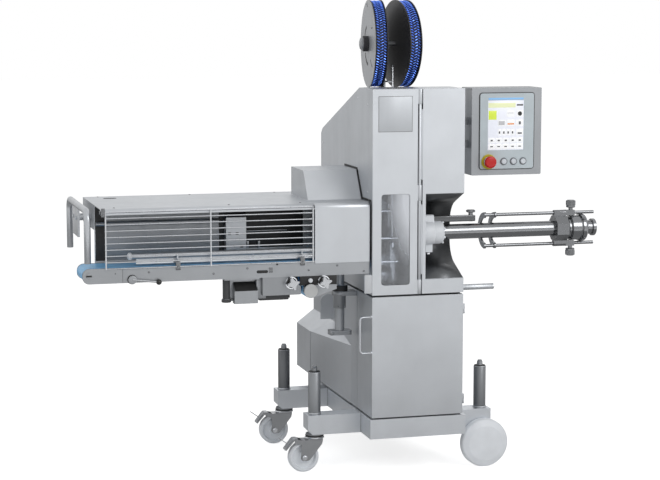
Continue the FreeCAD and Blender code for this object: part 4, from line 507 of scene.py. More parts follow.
tool_steel = polished_steel("tool_steel", 0.6, 0.28)
dress(satin_steel("floor_steel", 0.4), "machine_plate")
dress(tool_steel, "gatherer_upper", "gatherer_lower", "punch", "die", edge=0.8)
bars = bmesh.new()
for z, end in ((1076, 178), (966, 204), (872, 196)):
    add_tube(bars, [(84, -430, z), (end - 8, -430, z), (end, -431, z - 1)], [3.2, 3.2, 1.4], 12)
add_tube(bars, [(169, -433, 1180), (169, -433, 972)], 3.0, 12)
add_turned(bars, [(0, 0), (2, 6), (14, 8), (22, 5), (26, 0)], (171, -433, 928), (0, 0, 1), 20)
add_turned(bars, [(0, 0), (0, 7), (3, 10), (10, 10), (14, 6), (14, 0)], (192, -424, 999), (0, -1, 0), 28)
new_piece("door_bars", bars, bright_steel, "upper_door")


# Upper housing: satin sheet sides, a sloping top cover and a front panel with a concave scoop,
# whose dark lining sheet is painted shade in the hollow. A black strip of painted shadow lies where the end
# cover of the conveyor comes close.


def rounded(corners, radius, closed=False, steps=6):
    """A path in space with its corners rounded."""
    corners = [Vector(corner) for corner in corners]
    count = len(corners)
    path = []
    for i, corner in enumerate(corners):
        if not closed and i in (0, count - 1):
            path.append(corner)
            continue
        before = (corners[i - 1] - corner).normalized()
        after = (corners[(i + 1) % count] - corner).normalized()
        angle = before.angle(after)
        reach = radius / math.tan(angle / 2)
        start, end = corner + before * reach, corner + after * reach
        pull = math.sin(angle / 2)
        for k in range(steps + 1):
            t = k / steps
            first, middle, last = (1 - t) ** 2, 2 * pull * t * (1 - t), t**2
            point = start * first + corner * middle + end * last
            path.append(point / (first + middle + last))
    return path


dress(housing_steel, "tower_side_left", "tower_right_housing", "tower_top_cover", edge=1.2)
# The scoop lining is a dark steel sheet laid in the scoop's hollow as painted shade.
scoop_shade_steel = satin_steel("scoop_shade_steel", 0.11, 0.36)
shade_lining = bmesh.new()
corners = [(383, -455.4, 1142.0), (383, -285.6, 1070.4), (383, -285.6, 871.6), (383, -455.4, 800.0)]
path = rounded(corners, 98.6, steps=14)
rows = []
for point in path:
    rows.append([shade_lining.verts.new((x, point.y, point.z)) for x in (303, 462.8)])
for first, second in zip(rows, rows[1:]):
    shade_lining.faces.new((first[0], first[1], second[1], second[0]))
piece = new_piece("scoop_shade_lining", shade_lining, scoop_shade_steel, "machine")
thicken = piece.modifiers.new("sheet", "SOLIDIFY")
thicken.thickness = 0.0006
thicken.offset = 0
# A black strip on the tower side is painted shadow in the gap along the raised end cover.
shade_strip_path = [(80, -50, 1233), (80, -240, 1233), (80, -318, 1119.5), (80, -406, 1119.5)]
single_form("housing_shade_strip", black_rubber, "machine", "reel_black",
            add_strip, shade_strip_path, (-1, 0, 0), 4.0, 1.2)
screws = bmesh.new()
for y, z in ((-390, 1500), (-390, 1150), (-60, 800), (300, 800), (300, 1300), (-250, 1520)):
    add_screw(screws, (80, y, z), (-1, 0, 0), 3.4, 2.0)
for y, z in ((-60, 770), (300, 770), (300, 1300), (-200, 1520), (60, 1420)):
    add_screw(screws, (464, y, z), (1, 0, 0), 3.4, 2.0)
for x in (110, 272, 434):
    for z in (775, 1310):
        add_screw(screws, (x, 330, z), (0, 1, 0), 3.4, 2.0)
new_piece("housing_screws", screws, bright_steel, "machine")
caps = bmesh.new()
add_turned(caps, [(0, 0), (0, 21), (2.5, 20), (4, 15), (4, 0)], (506, -240, 1432.4), (0, 0, 1), 36)
add_turned(caps, [(0, 0), (0, 12.6), (4, 12), (6, 9), (6, 0)], (607, -405, 752), (1, 0, 0), 28)
for y in (-263, -217):
    for z in (1342, 1398):
        add_hex(caps, (474, y, z), (1, 0, 0), 6, 6)
new_piece("arm_fittings", caps, bright_steel, "machine")


# Upper door: a satin sheet door on a full-height hinge tube, with a square blank plate, a light
# plastic grip on its tab, and a lightly scuffed clear window behind its opening, milky towards the hinge side
# and the top as a painted reflection.

dress(housing_steel, "upper_door", edge=1.2)
plate_steel = satin_steel("plate_steel", 0.5, 0.52)
single_form("blank_plate", plate_steel, "upper_door", "stainless",
            add_slab, (105, -460.7, 1394), (243, -459.9, 1533), 0.3)
corners = [(104.6, -460, 1393.6), (243.4, -460, 1393.6), (243.4, -460, 1533.4), (104.6, -460, 1533.4)]
line_grey = moulded("line_grey", (0.16, 0.16, 0.16), 0.5)
single_form("blank_plate_edge", line_grey, "upper_door", "reel_black",
            add_strip, corners, (0, -1, 0), 0.8, 0.9, True)
grip_white = moulded("grip_white", (0.66, 0.68, 0.71), 0.4)
single_form("door_grip", grip_white, "upper_door", "white_plastic",
            add_slab, (48.8, -459.6, 749.6), (79.6, -444.6, 825.4), 4.0)
# A black strip on the door's side flange is painted shadow where the conveyor's end cover shades it.
corners = [(80, -412, 1119.5), (80, -436, 1119.5), (80, -441, 1112), (80, -441, 884)]
single_form("flange_shade_strip", black_rubber, "upper_door", "reel_black",
            add_strip, corners, (-1, 0, 0), 4.0, 1.0)
corners = [(116, -456.2, 779), (237, -456.2, 779), (237, -456.2, 1146), (116, -456.2, 1146)]
single_form("window_seal", black_rubber, "upper_door", "reel_black",
            add_strip, rounded(corners, 12, True), (0, 1, 0), 1.5, 1.2, True)


def clear_sheet(name, colour, roughness):
    """Clear impact-proof plastic sheet with faint rubbed marks, made milky towards the hinge side and the top
    as a painted reflection.
    """
    material, shader = new_material(name, colour, 0.0, roughness)
    shader.inputs["IOR"].default_value = 1.45
    tree = material.node_tree
    place = tree.nodes.new("ShaderNodeTexCoord")
    split = tree.nodes.new("ShaderNodeSeparateXYZ")
    tree.links.new(place.outputs["Object"], split.inputs["Vector"])
    # Painted reflection: the sheet turns milky towards the hinge side and the top.
    across = map_range(tree, split.outputs["X"], (0.115, 0.24), (0.05, 0.95))
    upward = map_range(tree, split.outputs["Z"], (0.82, 1.12), (0.3, 1.0))
    upward.interpolation_type = "SMOOTHSTEP"
    painted_reflection = reckon(tree, "MULTIPLY", across.outputs["Result"], upward.outputs["Result"])
    rubbed = noise_over(material, 26.0, 5.0, (1, 1, 0.3))
    spread = reckon(tree, "MULTIPLY_ADD", rubbed, 0.2, painted_reflection)
    clear = map_range(tree, spread, (0.34, 0.86), (0.9, 0.1))
    tree.links.new(clear.outputs["Result"], shader.inputs["Transmission Weight"])
    steer(material, shader, "Roughness", rubbed, roughness, roughness + 0.15)
    return material


window_clear = clear_sheet("window_clear", (0.82, 0.85, 0.9), 0.12)
dress(window_clear, "door_window")


# Clip supply: a steel bracket on the roof carries two reels wound with blue coated clips. The left
# reel has a pale outer cheek with curved slots, and each hub knob ends in a pale domed cap.


def reel_turn(x, toe):
    """Where a reel stands: its own x axis turned by its toe."""
    return Matrix.Translation((x, -175, 1735)) @ Matrix.Rotation(math.radians(toe), 4, "Z")


clips_in_row = 92


def add_clips(bm):
    """Three rows of small bridged clips round the winding, leaning alternately."""
    for row, lean in ((-14.5, 0.45), (0, -0.45), (14.5, 0.45)):
        for i in range(clips_in_row):
            turn = 2 * math.pi * (i + 0.5 * (row == 0)) / clips_in_row
            out = Vector((0, math.cos(turn), math.sin(turn)))
            along = Vector((0, -math.sin(turn), math.cos(turn)))
            path = []
            for across, rise in ((-6.4, 168.5), (-4.6, 172.2), (0, 173.4), (4.6, 172.2), (6.4, 168.5)):
                path.append(Vector((row + across, 0, 0)) + along * (across * lean) + out * rise)
            add_tube(bm, path, 2.0, 5)


reel_black = moulded("reel_black", (0.02, 0.02, 0.024), 0.4)
clip_blue = polished_steel("clip_blue", 0.3, 0.28)
clip_blue.node_tree.nodes["Principled BSDF"].inputs["Base Color"].default_value = (0.13, 0.27, 0.9, 1)
# The clip winding under the rows is near-black blue: painted shade in the gaps between the clips.
clip_shade_blue = moulded("clip_shade_blue", (0.003, 0.005, 0.03), 0.6)
cheek_grey = satin_steel("cheek_grey", 0.38, 0.4, 0.3)
dress(dark_steel, "spool_bracket")
dress(reel_black, "reel_left", "reel_right")
dress(clip_shade_blue, "clips_left", "clips_right")
left_turn = reel_turn(170.5, -6.5)
for side, turn, out in (("left", left_turn, -1), ("right", reel_turn(282.5, 4), 1)):
    clips = bmesh.new()
    add_clips(clips)
    new_piece("clip_rows_" + side, clips, clip_blue, "reel_" + side, turn)
    dome = [(0, 0), (0, 25), (7, 25), (10.5, 22), (13.5, 12), (14.5, 0)]
    single_form("hub_cap_" + side, cheek_grey, "reel_" + side, "polished_steel",
                add_turned, dome, (out * 48, 0, 0), (out, 0, 0), 36, turn=turn)
    grips = [(0, 30.8), (1, 31.6), (19, 31.6), (20, 30.8)]
    single_form("hub_grip_" + side, reel_black, "reel_" + side, "reel_black",
                add_turned, grips, (out * 27, 0, 0), (out, 0, 0), 72, 0.9, True, turn=turn)
section = [(0, 31), (0, 177.2), (0.9, 176.6), (0.9, 31)]
single_form("reel_cheek", cheek_grey, "reel_left", "reel_black",
            add_turned, section, (-25.5, 0, 0), (-1, 0, 0), 96, closed=True, turn=left_turn)
slots = bmesh.new()
arcs = ((62, 20, 76, 80), (-32, -90, 74, 84), (-131, -138, 84, 138), (140, 147, 96, 122), (84, 80, 150, 166))
for first, last, inner, outer in arcs:
    path = []
    for k in range(11):
        angle = math.radians(first + (last - first) * k / 10)
        radius = inner + (outer - inner) * k / 10
        path.append((-26.4, radius * math.cos(angle), radius * math.sin(angle)))
    add_strip(slots, path, (-1, 0, 0), 6.2 if outer < 90 else 2.4, 0.3)
new_piece("cheek_slots", slots, black_rubber, "reel_left", left_turn)
section = [(0, 4.1), (0, 4.9), (90, 4.9), (92, 4.1)]
single_form("chain_guide_sleeve", bright_steel, "machine", "polished_steel",
            add_turned, section, (232, -230, 1549), (0, 0, 1), 20, closed=True)


# Casing side: polished horn with its couplings, clamp with two knurled knobs, casing brake in
# white plastic on its steel arm, and the sliding casing carriage.

clamp_steel = polished_steel("clamp_steel", 0.2, 0.24)
horn_steel = polished_steel("horn_steel", 0.24, 0.17)
dress(horn_steel, "horn")
dress(polished_steel("rod_steel", 0.22, 0.24), "casing_carriage")
dress(clamp_steel, "horn_clamp", edge=0.8)
dress(clamp_steel, "clamp_knob_top", "clamp_knob_bottom", "brake_knob")
dress(white_nylon, "brake_ring", edge=0.8)
line_y, line_z = -360, 976
for name, side in (("top", 1), ("bottom", -1)):
    sleeve = [(0, 18.6), (0.8, 19.9), (18, 19.9), (19, 18.6)]
    single_form("clamp_knurl_" + name, clamp_steel, "clamp_knob_" + name, "polished_steel",
                add_turned, sleeve, (965, line_y, line_z + side * 94), (0, 0, side), 84, 0.8, True)
section = [(0, 17.6), (0.8, 18.8), (6, 18.8), (7, 17.6)]
single_form("brake_knurl", clamp_steel, "brake_knob", "polished_steel",
            add_turned, section, (527, line_y, 1055), (0, 0, 1), 64, 0.8, True)
single_form("brake_arm_sheath", polished_steel("arm_steel", 0.12, 0.22), "brake_ring", "polished_steel",
            add_slab, (362, -373, 1017.2), (543.8, -347, 1041.8), 2.0)
brake_screws = bmesh.new()
add_hex(brake_screws, (346, line_y, 893), (0, 0, -1), 7, 7)
for angle in map(math.radians, (30, 150, 210, 330)):
    y, z = line_y + 41 * math.cos(angle), line_z + 41 * math.sin(angle)
    add_screw(brake_screws, (402.4, y, z), (1, 0, 0), 3.6, 2.4)
new_piece("brake_screws", brake_screws, bright_steel, "brake_ring")
rings = bmesh.new()
for x, radius in ((958.5, 51.0), (1001.5, 56.7)):
    add_tube(rings, circle((x, line_y, line_z), (1, 0, 0), radius, 64), 0.9, 6, True)
flange = bmesh.new()
drum = [(0, 40), (0, 46.6), (3, 47.6), (34, 47.6), (40, 46), (45, 41), (46, 38)]
add_turned(flange, drum, (358, line_y, line_z), (1, 0, 0), 56, closed=True)
for i in range(8):
    angle = math.radians(22.5 + 45 * i)
    place = (400, line_y + 44.4 * math.cos(angle), line_z + 44.4 * math.sin(angle))
    add_turned(flange, [(0, 0), (0, 4.4), (5, 4.2), (6.4, 2.6), (6.6, 0)], place, (1, 0, 0), 16)
new_piece("brake_flange", flange, white_nylon, "brake_ring")
new_piece("coupling_seals", rings, black_rubber, "machine")
fasteners = bmesh.new()
for i in range(4):
    angle = math.radians(45 + 90 * i)
    way = Vector((0, math.cos(angle), math.sin(angle)))
    place = Vector((1011, line_y, line_z)) + way * 54
    add_turned(fasteners, [(0, 0), (0, 6.5), (5, 6.5), (6.4, 5), (6.4, 0)], place, way, 20)
for y in (line_y - 36, line_y + 36):
    for z in (line_z - 14, line_z + 14):
        add_hex(fasteners, (889, y, z), (-1, 0, 0), 5, 5.5)
new_piece("horn_fasteners", fasteners, clamp_steel, "machine")


# Operator panel: a darker satin box on a swivel arm, with a film-covered face set in a black
# seal, a screen with a plain generic page, a red stop button on a yellow collar and three pale
# buttons in dark rings.

panel_steel = satin_steel("panel_steel", 0.32, 0.42)
face_film = moulded("face_film", (0.6, 0.67, 0.71), 0.3)
stop_red = moulded("stop_red", (0.62, 0.008, 0.008), 0.25)
button_white = moulded("button_white", (0.75, 0.79, 0.84), 0.35)
dress(panel_steel, "panel_box", edge=1.5)
dress(face_film, "panel_face")
dress(stop_red, "emergency_stop")
dress(button_white, "push_button_1", "push_button_2", "push_button_3")
# The black seal round the face is partly a real seal and partly painted shadow along the face's edge.
corners = [(582, -305, 1222), (818, -305, 1222), (818, -305, 1534), (582, -305, 1534)]
single_form("face_seal_and_shadow", black_rubber, "operator_panel", "reel_black",
            add_strip, rounded(corners, 11, True), (0, -1, 0), 1.9, 3.4, True)


def panel_patch(name, colour, *blocks):
    """Thin patches of one colour on the face, given as left, right, low, high and thickness."""
    bm = bmesh.new()
    for left, right, low, high, lift in blocks:
        add_slab(bm, (left, -308.4 - lift, low), (right, -308.1, high), 0.08)
    material, shader = new_material(name, colour, 0.0, 0.25)
    glow = noise_over(material, 9.0)
    tint(material, shader, glow, tuple(c * 0.96 for c in colour), colour)
    shader.inputs["Emission Color"].default_value = (*colour, 1)
    shader.inputs["Emission Strength"].default_value = 0.3
    new_piece(name, bm, material, "operator_panel")


panel_patch("screen_page", (0.82, 0.84, 0.92), (617.4, 772.6, 1300.4, 1503.6, 0.1))
panel_patch("screen_header", (0.25, 0.5, 0.82), (619, 771, 1506.5, 1514.5, 0.9))
panel_patch("screen_strip", (0.8, 0.84, 0.52), (618.5, 737, 1474, 1494, 0.3))
panel_patch("screen_lime", (0.66, 0.8, 0.08), (619.5, 654, 1425, 1462, 0.3))
cells = [(740, 772, low, low + 26, 0.2) for low in (1436, 1398, 1360)]
cells += [(660, 694, 1398, 1424, 0.2), (698, 734, 1398, 1424, 0.2), (698, 734, 1436, 1462, 0.2)]
cells += [(660 + 19 * i, 676 + 19 * i, 1360, 1386, 0.2) for i in range(4)]
for low, high in ((1330, 1350), (1304, 1326)):
    cells += [(620 + 30.6 * i, 648 + 30.6 * i, low, high, 0.2) for i in range(5)]
panel_patch("screen_cells", (0.93, 0.94, 0.95), *cells)
marks = [(742, 770, 1481, 1488, 0.4), (747, 765, 1365, 1372, 0.5), (751, 761, 1404, 1417, 0.4)]
marks += [(664 + 19 * i, 671 + 19 * i, 1367, 1377, 0.4) for i in range(4)]
marks += [(629 + 30.6 * i, 639 + 30.6 * i, 1336, 1343, 0.4) for i in range(5)]
marks += [(628 + 30.6 * i, 640 + 30.6 * i, 1312, 1317, 0.4) for i in range(5)]
panel_patch("screen_marks", (0.12, 0.12, 0.13), *marks)
panel_patch("screen_greys", (0.5, 0.5, 0.52), (663, 690, 1402, 1420, 0.4), (702, 728, 1450, 1453, 0.4))
panel_patch("screen_orange", (0.75, 0.3, 0.12), (702, 731, 1404, 1410, 0.4))
single_form("screen_dot", black_rubber, "operator_panel", "face_grey",
            add_turned, [(0, 0), (0, 9.5), (0.6, 9.2), (0.6, 0)], (756, -308.2, 1449), (0, -1, 0), 28)
button_z = 1253
section = [(0, 22), (0, 30.7), (6, 30.7), (7.4, 29), (7.4, 22)]
stop_yellow = moulded("stop_yellow", (0.62, 0.52, 0.03), 0.35)
single_form("stop_collar", stop_yellow, "operator_panel", "face_grey",
            add_turned, section, (620, -308.6, button_z), (0, -1, 0), 48, closed=True)
section = [(0, 11.4), (0, 20.5), (1.6, 19.6), (1.6, 11.4)]
single_form("stop_sleeve", button_white, "operator_panel", "button_white",
            add_turned, section, (620, -315.2, button_z), (0, -1, 0), 36, closed=True)
bezels = bmesh.new()
for x in (687, 729, 771):
    section = [(0, 11.3), (0, 15.4), (3, 15), (4.2, 13.4), (4.2, 11.3)]
    add_turned(bezels, section, (x, -308.8, button_z), (0, -1, 0), 36, closed=True)
bezel_grey = moulded("bezel_grey", (0.16, 0.17, 0.19), 0.35)
new_piece("button_bezels", bezels, bezel_grey, "operator_panel")
back = bmesh.new()
add_slab(back, (566, -175.4, 1215), (834, -172.8, 1537), 1.0)
for x in (578, 700, 822):
    for z in (1227, 1525):
        add_screw(back, (x, -172.8, z), (0, 1, 0), 3.6, 2.2)
new_piece("panel_back_cover", back, panel_steel, "operator_panel")


# Discharge conveyor: satin side plates with a blue belt, rollers and hand knobs, on a round mast
# that stands in a column bracket on the cabinet.

belt_blue = moulded("belt_blue", (0.26, 0.62, 1.0), 0.4, 0.0003)
dark_plastic = moulded("dark_plastic", (0.05, 0.052, 0.055), 0.45)
plate_satin = satin_steel("plate_satin", 0.36)
knob_steel = polished_steel("knob_steel", 0.46, 0.26)
dress(plate_satin, "conveyor_frame", "terminal_box", edge=1.0)
# The column and the drive cover take a darker tone of the satin steel: painted shade under the conveyor.
dress(satin_steel("column_shaded_steel", 0.29, 0.36), "conveyor_column", "belt_drive_cover", edge=1.0)
dress(belt_blue, "belt")
dress(bright_steel, "drive_roller", "tail_roller")
dress(knob_steel, "tension_lever")
dress(knob_steel, "star_knob_left", "star_knob_right", edge=1.6)
dress(satin_steel("guide_steel", 0.62, 0.3), "product_guide")
tail = bmesh.new()
outline = [(-917.5, 829), (-917.5, 887)]
for k in range(19):
    angle = math.radians(90 + 10 * k)
    outline.append((-1043 + 29 * math.cos(angle), 858 + 29 * math.sin(angle)))
front = [tail.verts.new((x, -442.3, z)) for x, z in outline]
back = [tail.verts.new((x, -441, z)) for x, z in outline]
bridge(tail, [front, back])
add_turned(tail, [(0, 0), (0, 13), (1.6, 12.4), (1.6, 0)], (-1045, -442.2, 860), (0, -1, 0), 32)
new_piece("tail_plate", tail, plate_satin, "conveyor")
fastenings = bmesh.new()
for x, z in ((-815, 867), (-560, 852), (-425, 868), (-177, 852), (-60, 866), (50, 840)):
    add_screw(fastenings, (x, -441, z), (0, -1, 0), 4.2, 2.0)
add_screw(fastenings, (-331, -442, 860), (0, -1, 0), 3.2, 1.6)
add_slab(fastenings, (-338.5, -442.2, 848), (-323, -440.8, 868), 0.4)
for x in (-700, -202):
    add_slab(fastenings, (x - 9, -447, 872), (x + 9, -433, 906), 1.2)
    add_hex(fastenings, (x, -447, 884), (0, -1, 0), 5.4, 5)
for x, z in ((-478, 820), (-478, 742), (-383, 742)):
    add_screw(fastenings, (x, -388, z), (0, -1, 0), 3.8, 2.2)
add_turned(fastenings, [(0, 2.8), (0, 6), (3, 6), (3, 2.8)], (-392, -388, 820), (0, -1, 0), 20, closed=True)
new_piece("conveyor_fastenings", fastenings, clamp_steel, "conveyor")
column = bmesh.new()
for x in (-20, 52):
    add_screw(column, (x, -233, 555), (0, -1, 0), 6, 2.4)
for x in (2, 30):
    add_screw(column, (x, -229.5, 664), (0, -1, 0), 3.4, 2.0)
new_piece("column_screws", column, dark_steel, "machine")
star_knobs = (-248, -116)
# Black rubber fittings. The discs behind the star knobs and the plates under the belt's front and beside the
# drive cover are painted shade.
darks_and_shade = bmesh.new()
add_slab(darks_and_shade, (-1058, -444.2, 856), (-1036, -443.6, 863), 0.25)
add_slab(darks_and_shade, (-390, -440.2, 845), (-340, -436.4, 859), 0.5)
add_screw(darks_and_shade, (-945, -441, 866), (0, -1, 0), 3.2, 1.6)
add_slab(darks_and_shade, (-309, -441.9, 876), (-301, -440.6, 888.4), 0.4)
for x in star_knobs:
    add_turned(darks_and_shade, [(0, 0), (0, 19), (5, 19), (5, 0)], (x, -437, 804), (0, -1, 0), 32)
add_slab(darks_and_shade, (-211, -439.9, 791), (-61.5, -439.0, 830), 0.3)
add_slab(darks_and_shade, (-300, -408.2, 789), (-213, -407.0, 830), 0.3)
add_tube(darks_and_shade, circle((-880, -441.4, 841), (0, 1, 0), 17.6, 40), 1.3, 6, True)
add_slab(darks_and_shade, (-917.4, -442.4, 829), (-916.2, -440.8, 887), 0.1)
slope = [(-470, -426, 775.8), (-470, -387.6, 806.9), (-382, -387.6, 806.9), (-382, -426, 775.8)]
plate = [darks_and_shade.verts.new(corner) for corner in slope]
lifted = [darks_and_shade.verts.new((x, y - 1.0, z + 1.3)) for x, y, z in slope]
bridge(darks_and_shade, [plate, lifted])
add_turned(darks_and_shade, [(0, 32), (0, 32.8), (24, 32.8), (24, 32)], (16, -205, 728), (0, 0, 1), 48, closed=True)
new_piece("conveyor_dark_fittings_and_shade", darks_and_shade, black_rubber, "conveyor")
backing = bmesh.new()
add_slab(backing, (-381.5, -409.6, 741), (-344, -408.2, 829), 0.5)
add_slab(backing, (-486, -386.6, 735), (-382, -385.4, 827), 0.5)
new_piece("drive_backing", backing, plate_satin, "conveyor")
sleeves = bmesh.new()
add_turned(sleeves, [(0, 14), (0, 14.6), (84, 14.6), (84, 14)], (-501, -398, 741), (0, 0, 1), 32, closed=True)
nut = [(0, 17), (0, 18.6), (3, 19.6), (10, 19.6), (13, 18.6), (13, 17)]
add_turned(sleeves, nut, (-501, -398, 730.4), (0, 0, 1), 8, closed=True)
add_slab(sleeves, (-370, -408, 732), (-250, -356, 755.2), 3.0)
add_slab(sleeves, (-262, -404, 738), (-244, -362, 754.6), 2.0)
new_piece("drive_unit_cover", sleeves, dark_plastic, "conveyor")
seats = bmesh.new()
for x in star_knobs:
    ring = [(0, 20), (0, 25), (9, 24.4), (9, 20)]
    add_turned(seats, ring, (x, -437, 804), (0, -1, 0), 40, closed=True)
new_piece("star_seats", seats, bright_steel, "conveyor")
section = [(0, 0), (0, 5), (6, 5), (8, 8), (16, 9), (20, 7), (21, 0)]
single_form("catch_knob", white_nylon, "conveyor", "white_plastic",
            add_turned, section, (-172, -437, 811), (0, -1, 0), 28)
disc = bmesh.new()
cap_x, cap_z = -171, 769
section = [(0, 26.5), (0, 27.4), (9.4, 27.4), (10.8, 25.8), (11.2, 18), (10.8, 0)]
add_turned(disc, section, (cap_x, -447, cap_z), (0, -1, 0), 48)
for i in range(3):
    angle = math.radians(90 + 120 * i)
    rib = []
    for reach, y in ((5, -457.9), (19, -458.1)):
        rib.append(Vector((cap_x + reach * math.cos(angle), y, cap_z + reach * math.sin(angle))))
    add_strip(disc, rib, (0, -1, 0), 1.6, 0.7)
cap_grey = moulded("cap_grey", (0.6, 0.61, 0.61), 0.45)
new_piece("roller_cap", disc, cap_grey, "drive_roller")
ball = bmesh.new()
ball_radius = 11.2
turns = [math.pi * i / 12 for i in range(1, 12)]
section = [(-ball_radius * math.cos(turn), ball_radius * math.sin(turn)) for turn in turns]
section = [(-ball_radius, 0), *section, (ball_radius, 0)]
add_turned(ball, section, (-778, -452, 829), (1, 0, -0.118), 28)
ball_black = moulded("ball_black", (0.015, 0.015, 0.016), 0.15)
new_piece("lever_ball", ball, ball_black, "tension_lever")
section = [(0, 0), (0, 15.8), (1.6, 15.2), (2.2, 12), (1.8, 0)]
single_form("lever_hub_face", plate_satin, "tension_lever", "polished_steel",
            add_turned, section, (-880, -452.9, 841), (0, -1, 0), 36)
section = [(-4, 9), (-4, 12.6), (0, 14.4), (6, 14), (11, 10), (14, 0)]
single_form("guide_plug", white_nylon, "product_guide", "white_plastic",
            add_turned, section, (-882, -415, 928), (-1, 0, 0), 32)
joint = [(-700, -429, 888.15), (-640, -360, 888.15), (-700, -291, 888.15)]
single_form("belt_joint", moulded("joint_blue", (0.08, 0.3, 0.6), 0.5), "conveyor", "belt_blue",
            add_strip, joint, (0, 0, 1), 1.2, 0.12)


# Hood, end cover and end bow: bent satin sheet over the belt, with black sheets and a grey sheet behind the
# belt and under the hood top as painted shade, a covered hand hole on top, screws along the folds, and a bow
# of satin tube at the left end.

hood_steel = satin_steel("hood_steel", 0.55)
dress(hood_steel, "hood", "end_cover", edge=1.2)
dress(satin_steel("bow_steel", 0.5, 0.32), "end_bow", edge=1.2)
# The black sheets behind the belt and under the hood top are painted shade in the tunnel.
shade_lining = bmesh.new()
add_slab(shade_lining, (-393, -260.4, 925), (-154, -259, 1108), 0.4)
add_slab(shade_lining, (-500, -260.4, 905), (-477, -259, 1108), 0.4)
add_slab(shade_lining, (-994, -260.4, 893), (-952, -259, 1108), 0.4)
add_slab(shade_lining, (-498, -430, 1108.6), (-154, -262, 1110.6), 0.4)
for x, low, high in ((-462, 982, 992), (-431, 982, 992), (-412, 930, 940)):
    add_slab(shade_lining, (x - 6, -285.9, low), (x + 6, -284.8, high), 0.4)
new_piece("tunnel_shade_lining", shade_lining, black_rubber, "conveyor")
# The darker grey sheet behind the grille is painted shade too.
single_form("tunnel_shade_sheet", satin_steel("shaded_steel", 0.33, 0.5), "conveyor", "stainless",
            add_slab, (-951, -260.6, 893), (-501, -259, 1110), 0.4)
inner = bmesh.new()
add_turned(inner, [(0, 0), (0, 9), (488, 9), (492, 7), (492, 0)], (-994, -272, 1040), (1, 0, 0), 28)
add_tube(inner, [(-390, -268, 994), (-224, -268, 994)], 3.4, 12)
for x in (-384, -338):
    add_slab(inner, (x - 4, -270, 926), (x + 4, -260, 952), 1.0)
new_piece("tunnel_fittings", inner, weld_steel, "conveyor")
top = bmesh.new()
hood_top, hood_back = 1115, 60
corners = [(x, y, hood_top) for x, y in ((-926, -38), (-876, -38), (-876, -22), (-926, -22))]
add_strip(top, rounded(corners, 7.5, True), (0, 0, 1), 1.6, 1.6, True)
for x, y in ((-488, -395), (-940, -395), (-200, -395), (-940, 40), (-560, 40), (-200, 40)):
    add_screw(top, (x, y, hood_top), (0, 0, 1), 4.0, 2.0)
for x, z in ((-140, 900), (-140, 1090), (60, 900), (60, 1090), (-960, 1065), (-575, 1065), (-190, 1065)):
    add_screw(top, (x, hood_back, z), (0, 1, 0), 3.8, 2.0)
new_piece("hood_fastenings", top, clamp_steel, "conveyor")
knuckle = bmesh.new()
for x in (-1004, -158):
    add_turned(knuckle, [(0, 0), (0, 7.4), (3, 8), (5, 6), (5, 0)], (x, -445, 1104), (1, 0, 0), 24)
for z in (1112, 1094):
    add_hex(knuckle, (-990, -450, z), (0, -1, 0), 5.6, 5)
add_slab(knuckle, (-998, -450.4, 1086), (-982, -446, 1120), 1.0)
new_piece("grille_hinge_fittings", knuckle, clamp_steel, "conveyor")
bow_bolts = bmesh.new()
for y in (-165, -85):
    add_hex(bow_bolts, (-1054, y, 1055), (-1, 0, 0), 8, 6)
    add_turned(bow_bolts, [(0, 0), (0, 15), (3, 15), (4, 13), (4, 0)], (-1003, y, 1055), (1, 0, 0), 28)
for y in (-435, 78):
    add_turned(bow_bolts, [(0, 0), (0, 13.2), (2.4, 12.4), (2.4, 0)], (-1050, y, 910), (0, 0, -1), 32)
new_piece("bow_fittings", bow_bolts, bright_steel, "conveyor")


# Guard grille: polished round rods welded to three uprights, hung on its top rod.

grille_steel = polished_steel("grille_steel", 0.54, 0.3)
dress(grille_steel, "guard_grille")
spots = bmesh.new()
for x in (-981, -570.5, -160):
    for i in range(10):
        z = 1104 - 24.3 * i
        add_turned(spots, [(0, 0), (0, 3.6), (1.2, 3.0), (1.8, 0)], (x, -447.2, z), (0, -1, 0), 12)
new_piece("grille_welds", spots, grille_steel, "guard_grille")


# Studio: a plain pale floor under a white surround, with large soft lamps. Grey cards that only
# the metal sees stand beside and below the machine, as a photographer places them.


floor_glow = 0.72
surround_light = 0.35


def pale_floor():
    """A pale floor that keeps the shadow and is white to the camera and in reflections."""
    bm = bmesh.new()
    bmesh.ops.create_grid(bm, x_segments=1, y_segments=1, size=40.0)
    mesh = bpy.data.meshes.new("studio_floor")
    bm.to_mesh(mesh)
    bm.free()
    floor = placed("studio_floor", mesh)
    floor.location = (0, 0, -0.0005)
    material, shader = new_material("floor_white", (0.9, 0.9, 0.9), 0.0, 0.9)
    shader.inputs["Specular IOR Level"].default_value = 0.0
    tree = material.node_tree
    rays = tree.nodes.new("ShaderNodeLightPath")
    seen = reckon(tree, "MAXIMUM", rays.outputs["Is Camera Ray"], rays.outputs["Is Glossy Ray"])
    strength = reckon(tree, "MULTIPLY", seen, floor_glow)
    shader.inputs["Emission Color"].default_value = (1, 1, 1, 1)
    tree.links.new(strength, shader.inputs["Emission Strength"])
    mesh.materials.append(material)


def white_surround():
    """The world: white to the camera and in reflections, softer as light on the object."""
    world = bpy.data.worlds.new("surround")
    bpy.context.scene.world = world
    world.use_nodes = True
    tree = world.node_tree
    back = tree.nodes["Background"]
    rays = tree.nodes.new("ShaderNodeLightPath")
    seen = reckon(tree, "MAXIMUM", rays.outputs["Is Camera Ray"], rays.outputs["Is Glossy Ray"])
    seen = reckon(tree, "MAXIMUM", seen, rays.outputs["Is Transmission Ray"])
    strength = map_range(tree, seen, target=(surround_light, 1.0))
    tree.links.new(strength.outputs["Result"], back.inputs["Strength"])
    back.inputs["Color"].default_value = (1, 1, 1, 1)


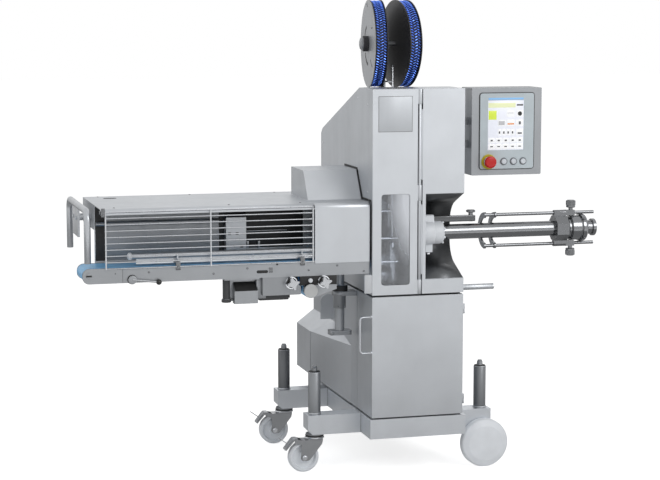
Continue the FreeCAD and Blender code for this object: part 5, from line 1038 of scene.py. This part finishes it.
def soft_lamp(name, place, aim, size, watts, glossy=True):
    """A square area lamp turned to face a point."""
    lamp = bpy.data.lights.new(name, "AREA")
    lamp.shape = "SQUARE"
    lamp.size = size
    lamp.energy = watts
    holder = placed(name, lamp)
    holder.location = place
    holder.rotation_mode = "QUATERNION"
    holder.rotation_quaternion = (Vector(aim) - Vector(place)).to_track_quat("-Z", "Y")
    holder.visible_glossy = glossy


def grey_card(name, corners, tone):
    """A card that glows evenly and shows only in reflections."""
    mesh = bpy.data.meshes.new(name)
    mesh.from_pydata(corners, [], [tuple(range(len(corners)))])
    material, shader = new_material(name, (0, 0, 0), 0.0, 1.0)
    shader.inputs["Specular IOR Level"].default_value = 0.0
    shader.inputs["Emission Color"].default_value = (1, 1, 1, 1)
    shader.inputs["Emission Strength"].default_value = tone
    mesh.materials.append(material)
    card = placed(name, mesh)
    card.visible_camera = False
    card.visible_diffuse = False
    card.visible_transmission = False
    card.visible_shadow = False


pale_floor()
white_surround()
grey_card("side_card", [(-6, 3.5, 0.55), (-0.3, 3.5, 0.55), (-0.3, 3.5, 1.7), (-6, 3.5, 1.7)], 0.74)
grey_card("low_card", [(-6, 3.5, 0), (-0.3, 3.5, 0), (-0.3, 3.5, 0.55), (-6, 3.5, 0.55)], 0.17)
grey_card("floor_card", [(-5, -2.5, 0.003), (3, -2.5, 0.003), (3, 5, 0.003), (-5, 5, 0.003)], 0.43)
soft_lamp("key_lamp", (2.6, -4.6, 3.6), (0, -0.2, 1.0), 2.5, 92)
soft_lamp("fill_lamp", (-4.0, -3.5, 3.0), (0, 0, 0.9), 2.5, 36, False)
soft_lamp("top_lamp", (0, 0.5, 5.0), (0, 0, 1.0), 3.0, 40, False)


# Camera: in front and to the left of the machine at standing height, looking a little down.

camera_place = Vector((-2.0218, -7.5244, 1.8920))
camera_yaw = 0.2663
camera_pitch = 0.1251
focal_pixels = 1869.8
picture_width = 660
sensor_width = 36

lens = bpy.data.cameras.new("camera")
lens.sensor_width = sensor_width
lens.lens = focal_pixels / picture_width * sensor_width
camera = placed("camera", lens)
camera.location = camera_place
camera.rotation_mode = "QUATERNION"
aim = Vector(
    (
        math.sin(camera_yaw) * math.cos(camera_pitch),
        math.cos(camera_yaw) * math.cos(camera_pitch),
        -math.sin(camera_pitch),
    )
)
camera.rotation_quaternion = aim.to_track_quat("-Z", "Y")
bpy.context.scene.camera = camera
bpy.context.scene.view_settings.view_transform = "Standard"
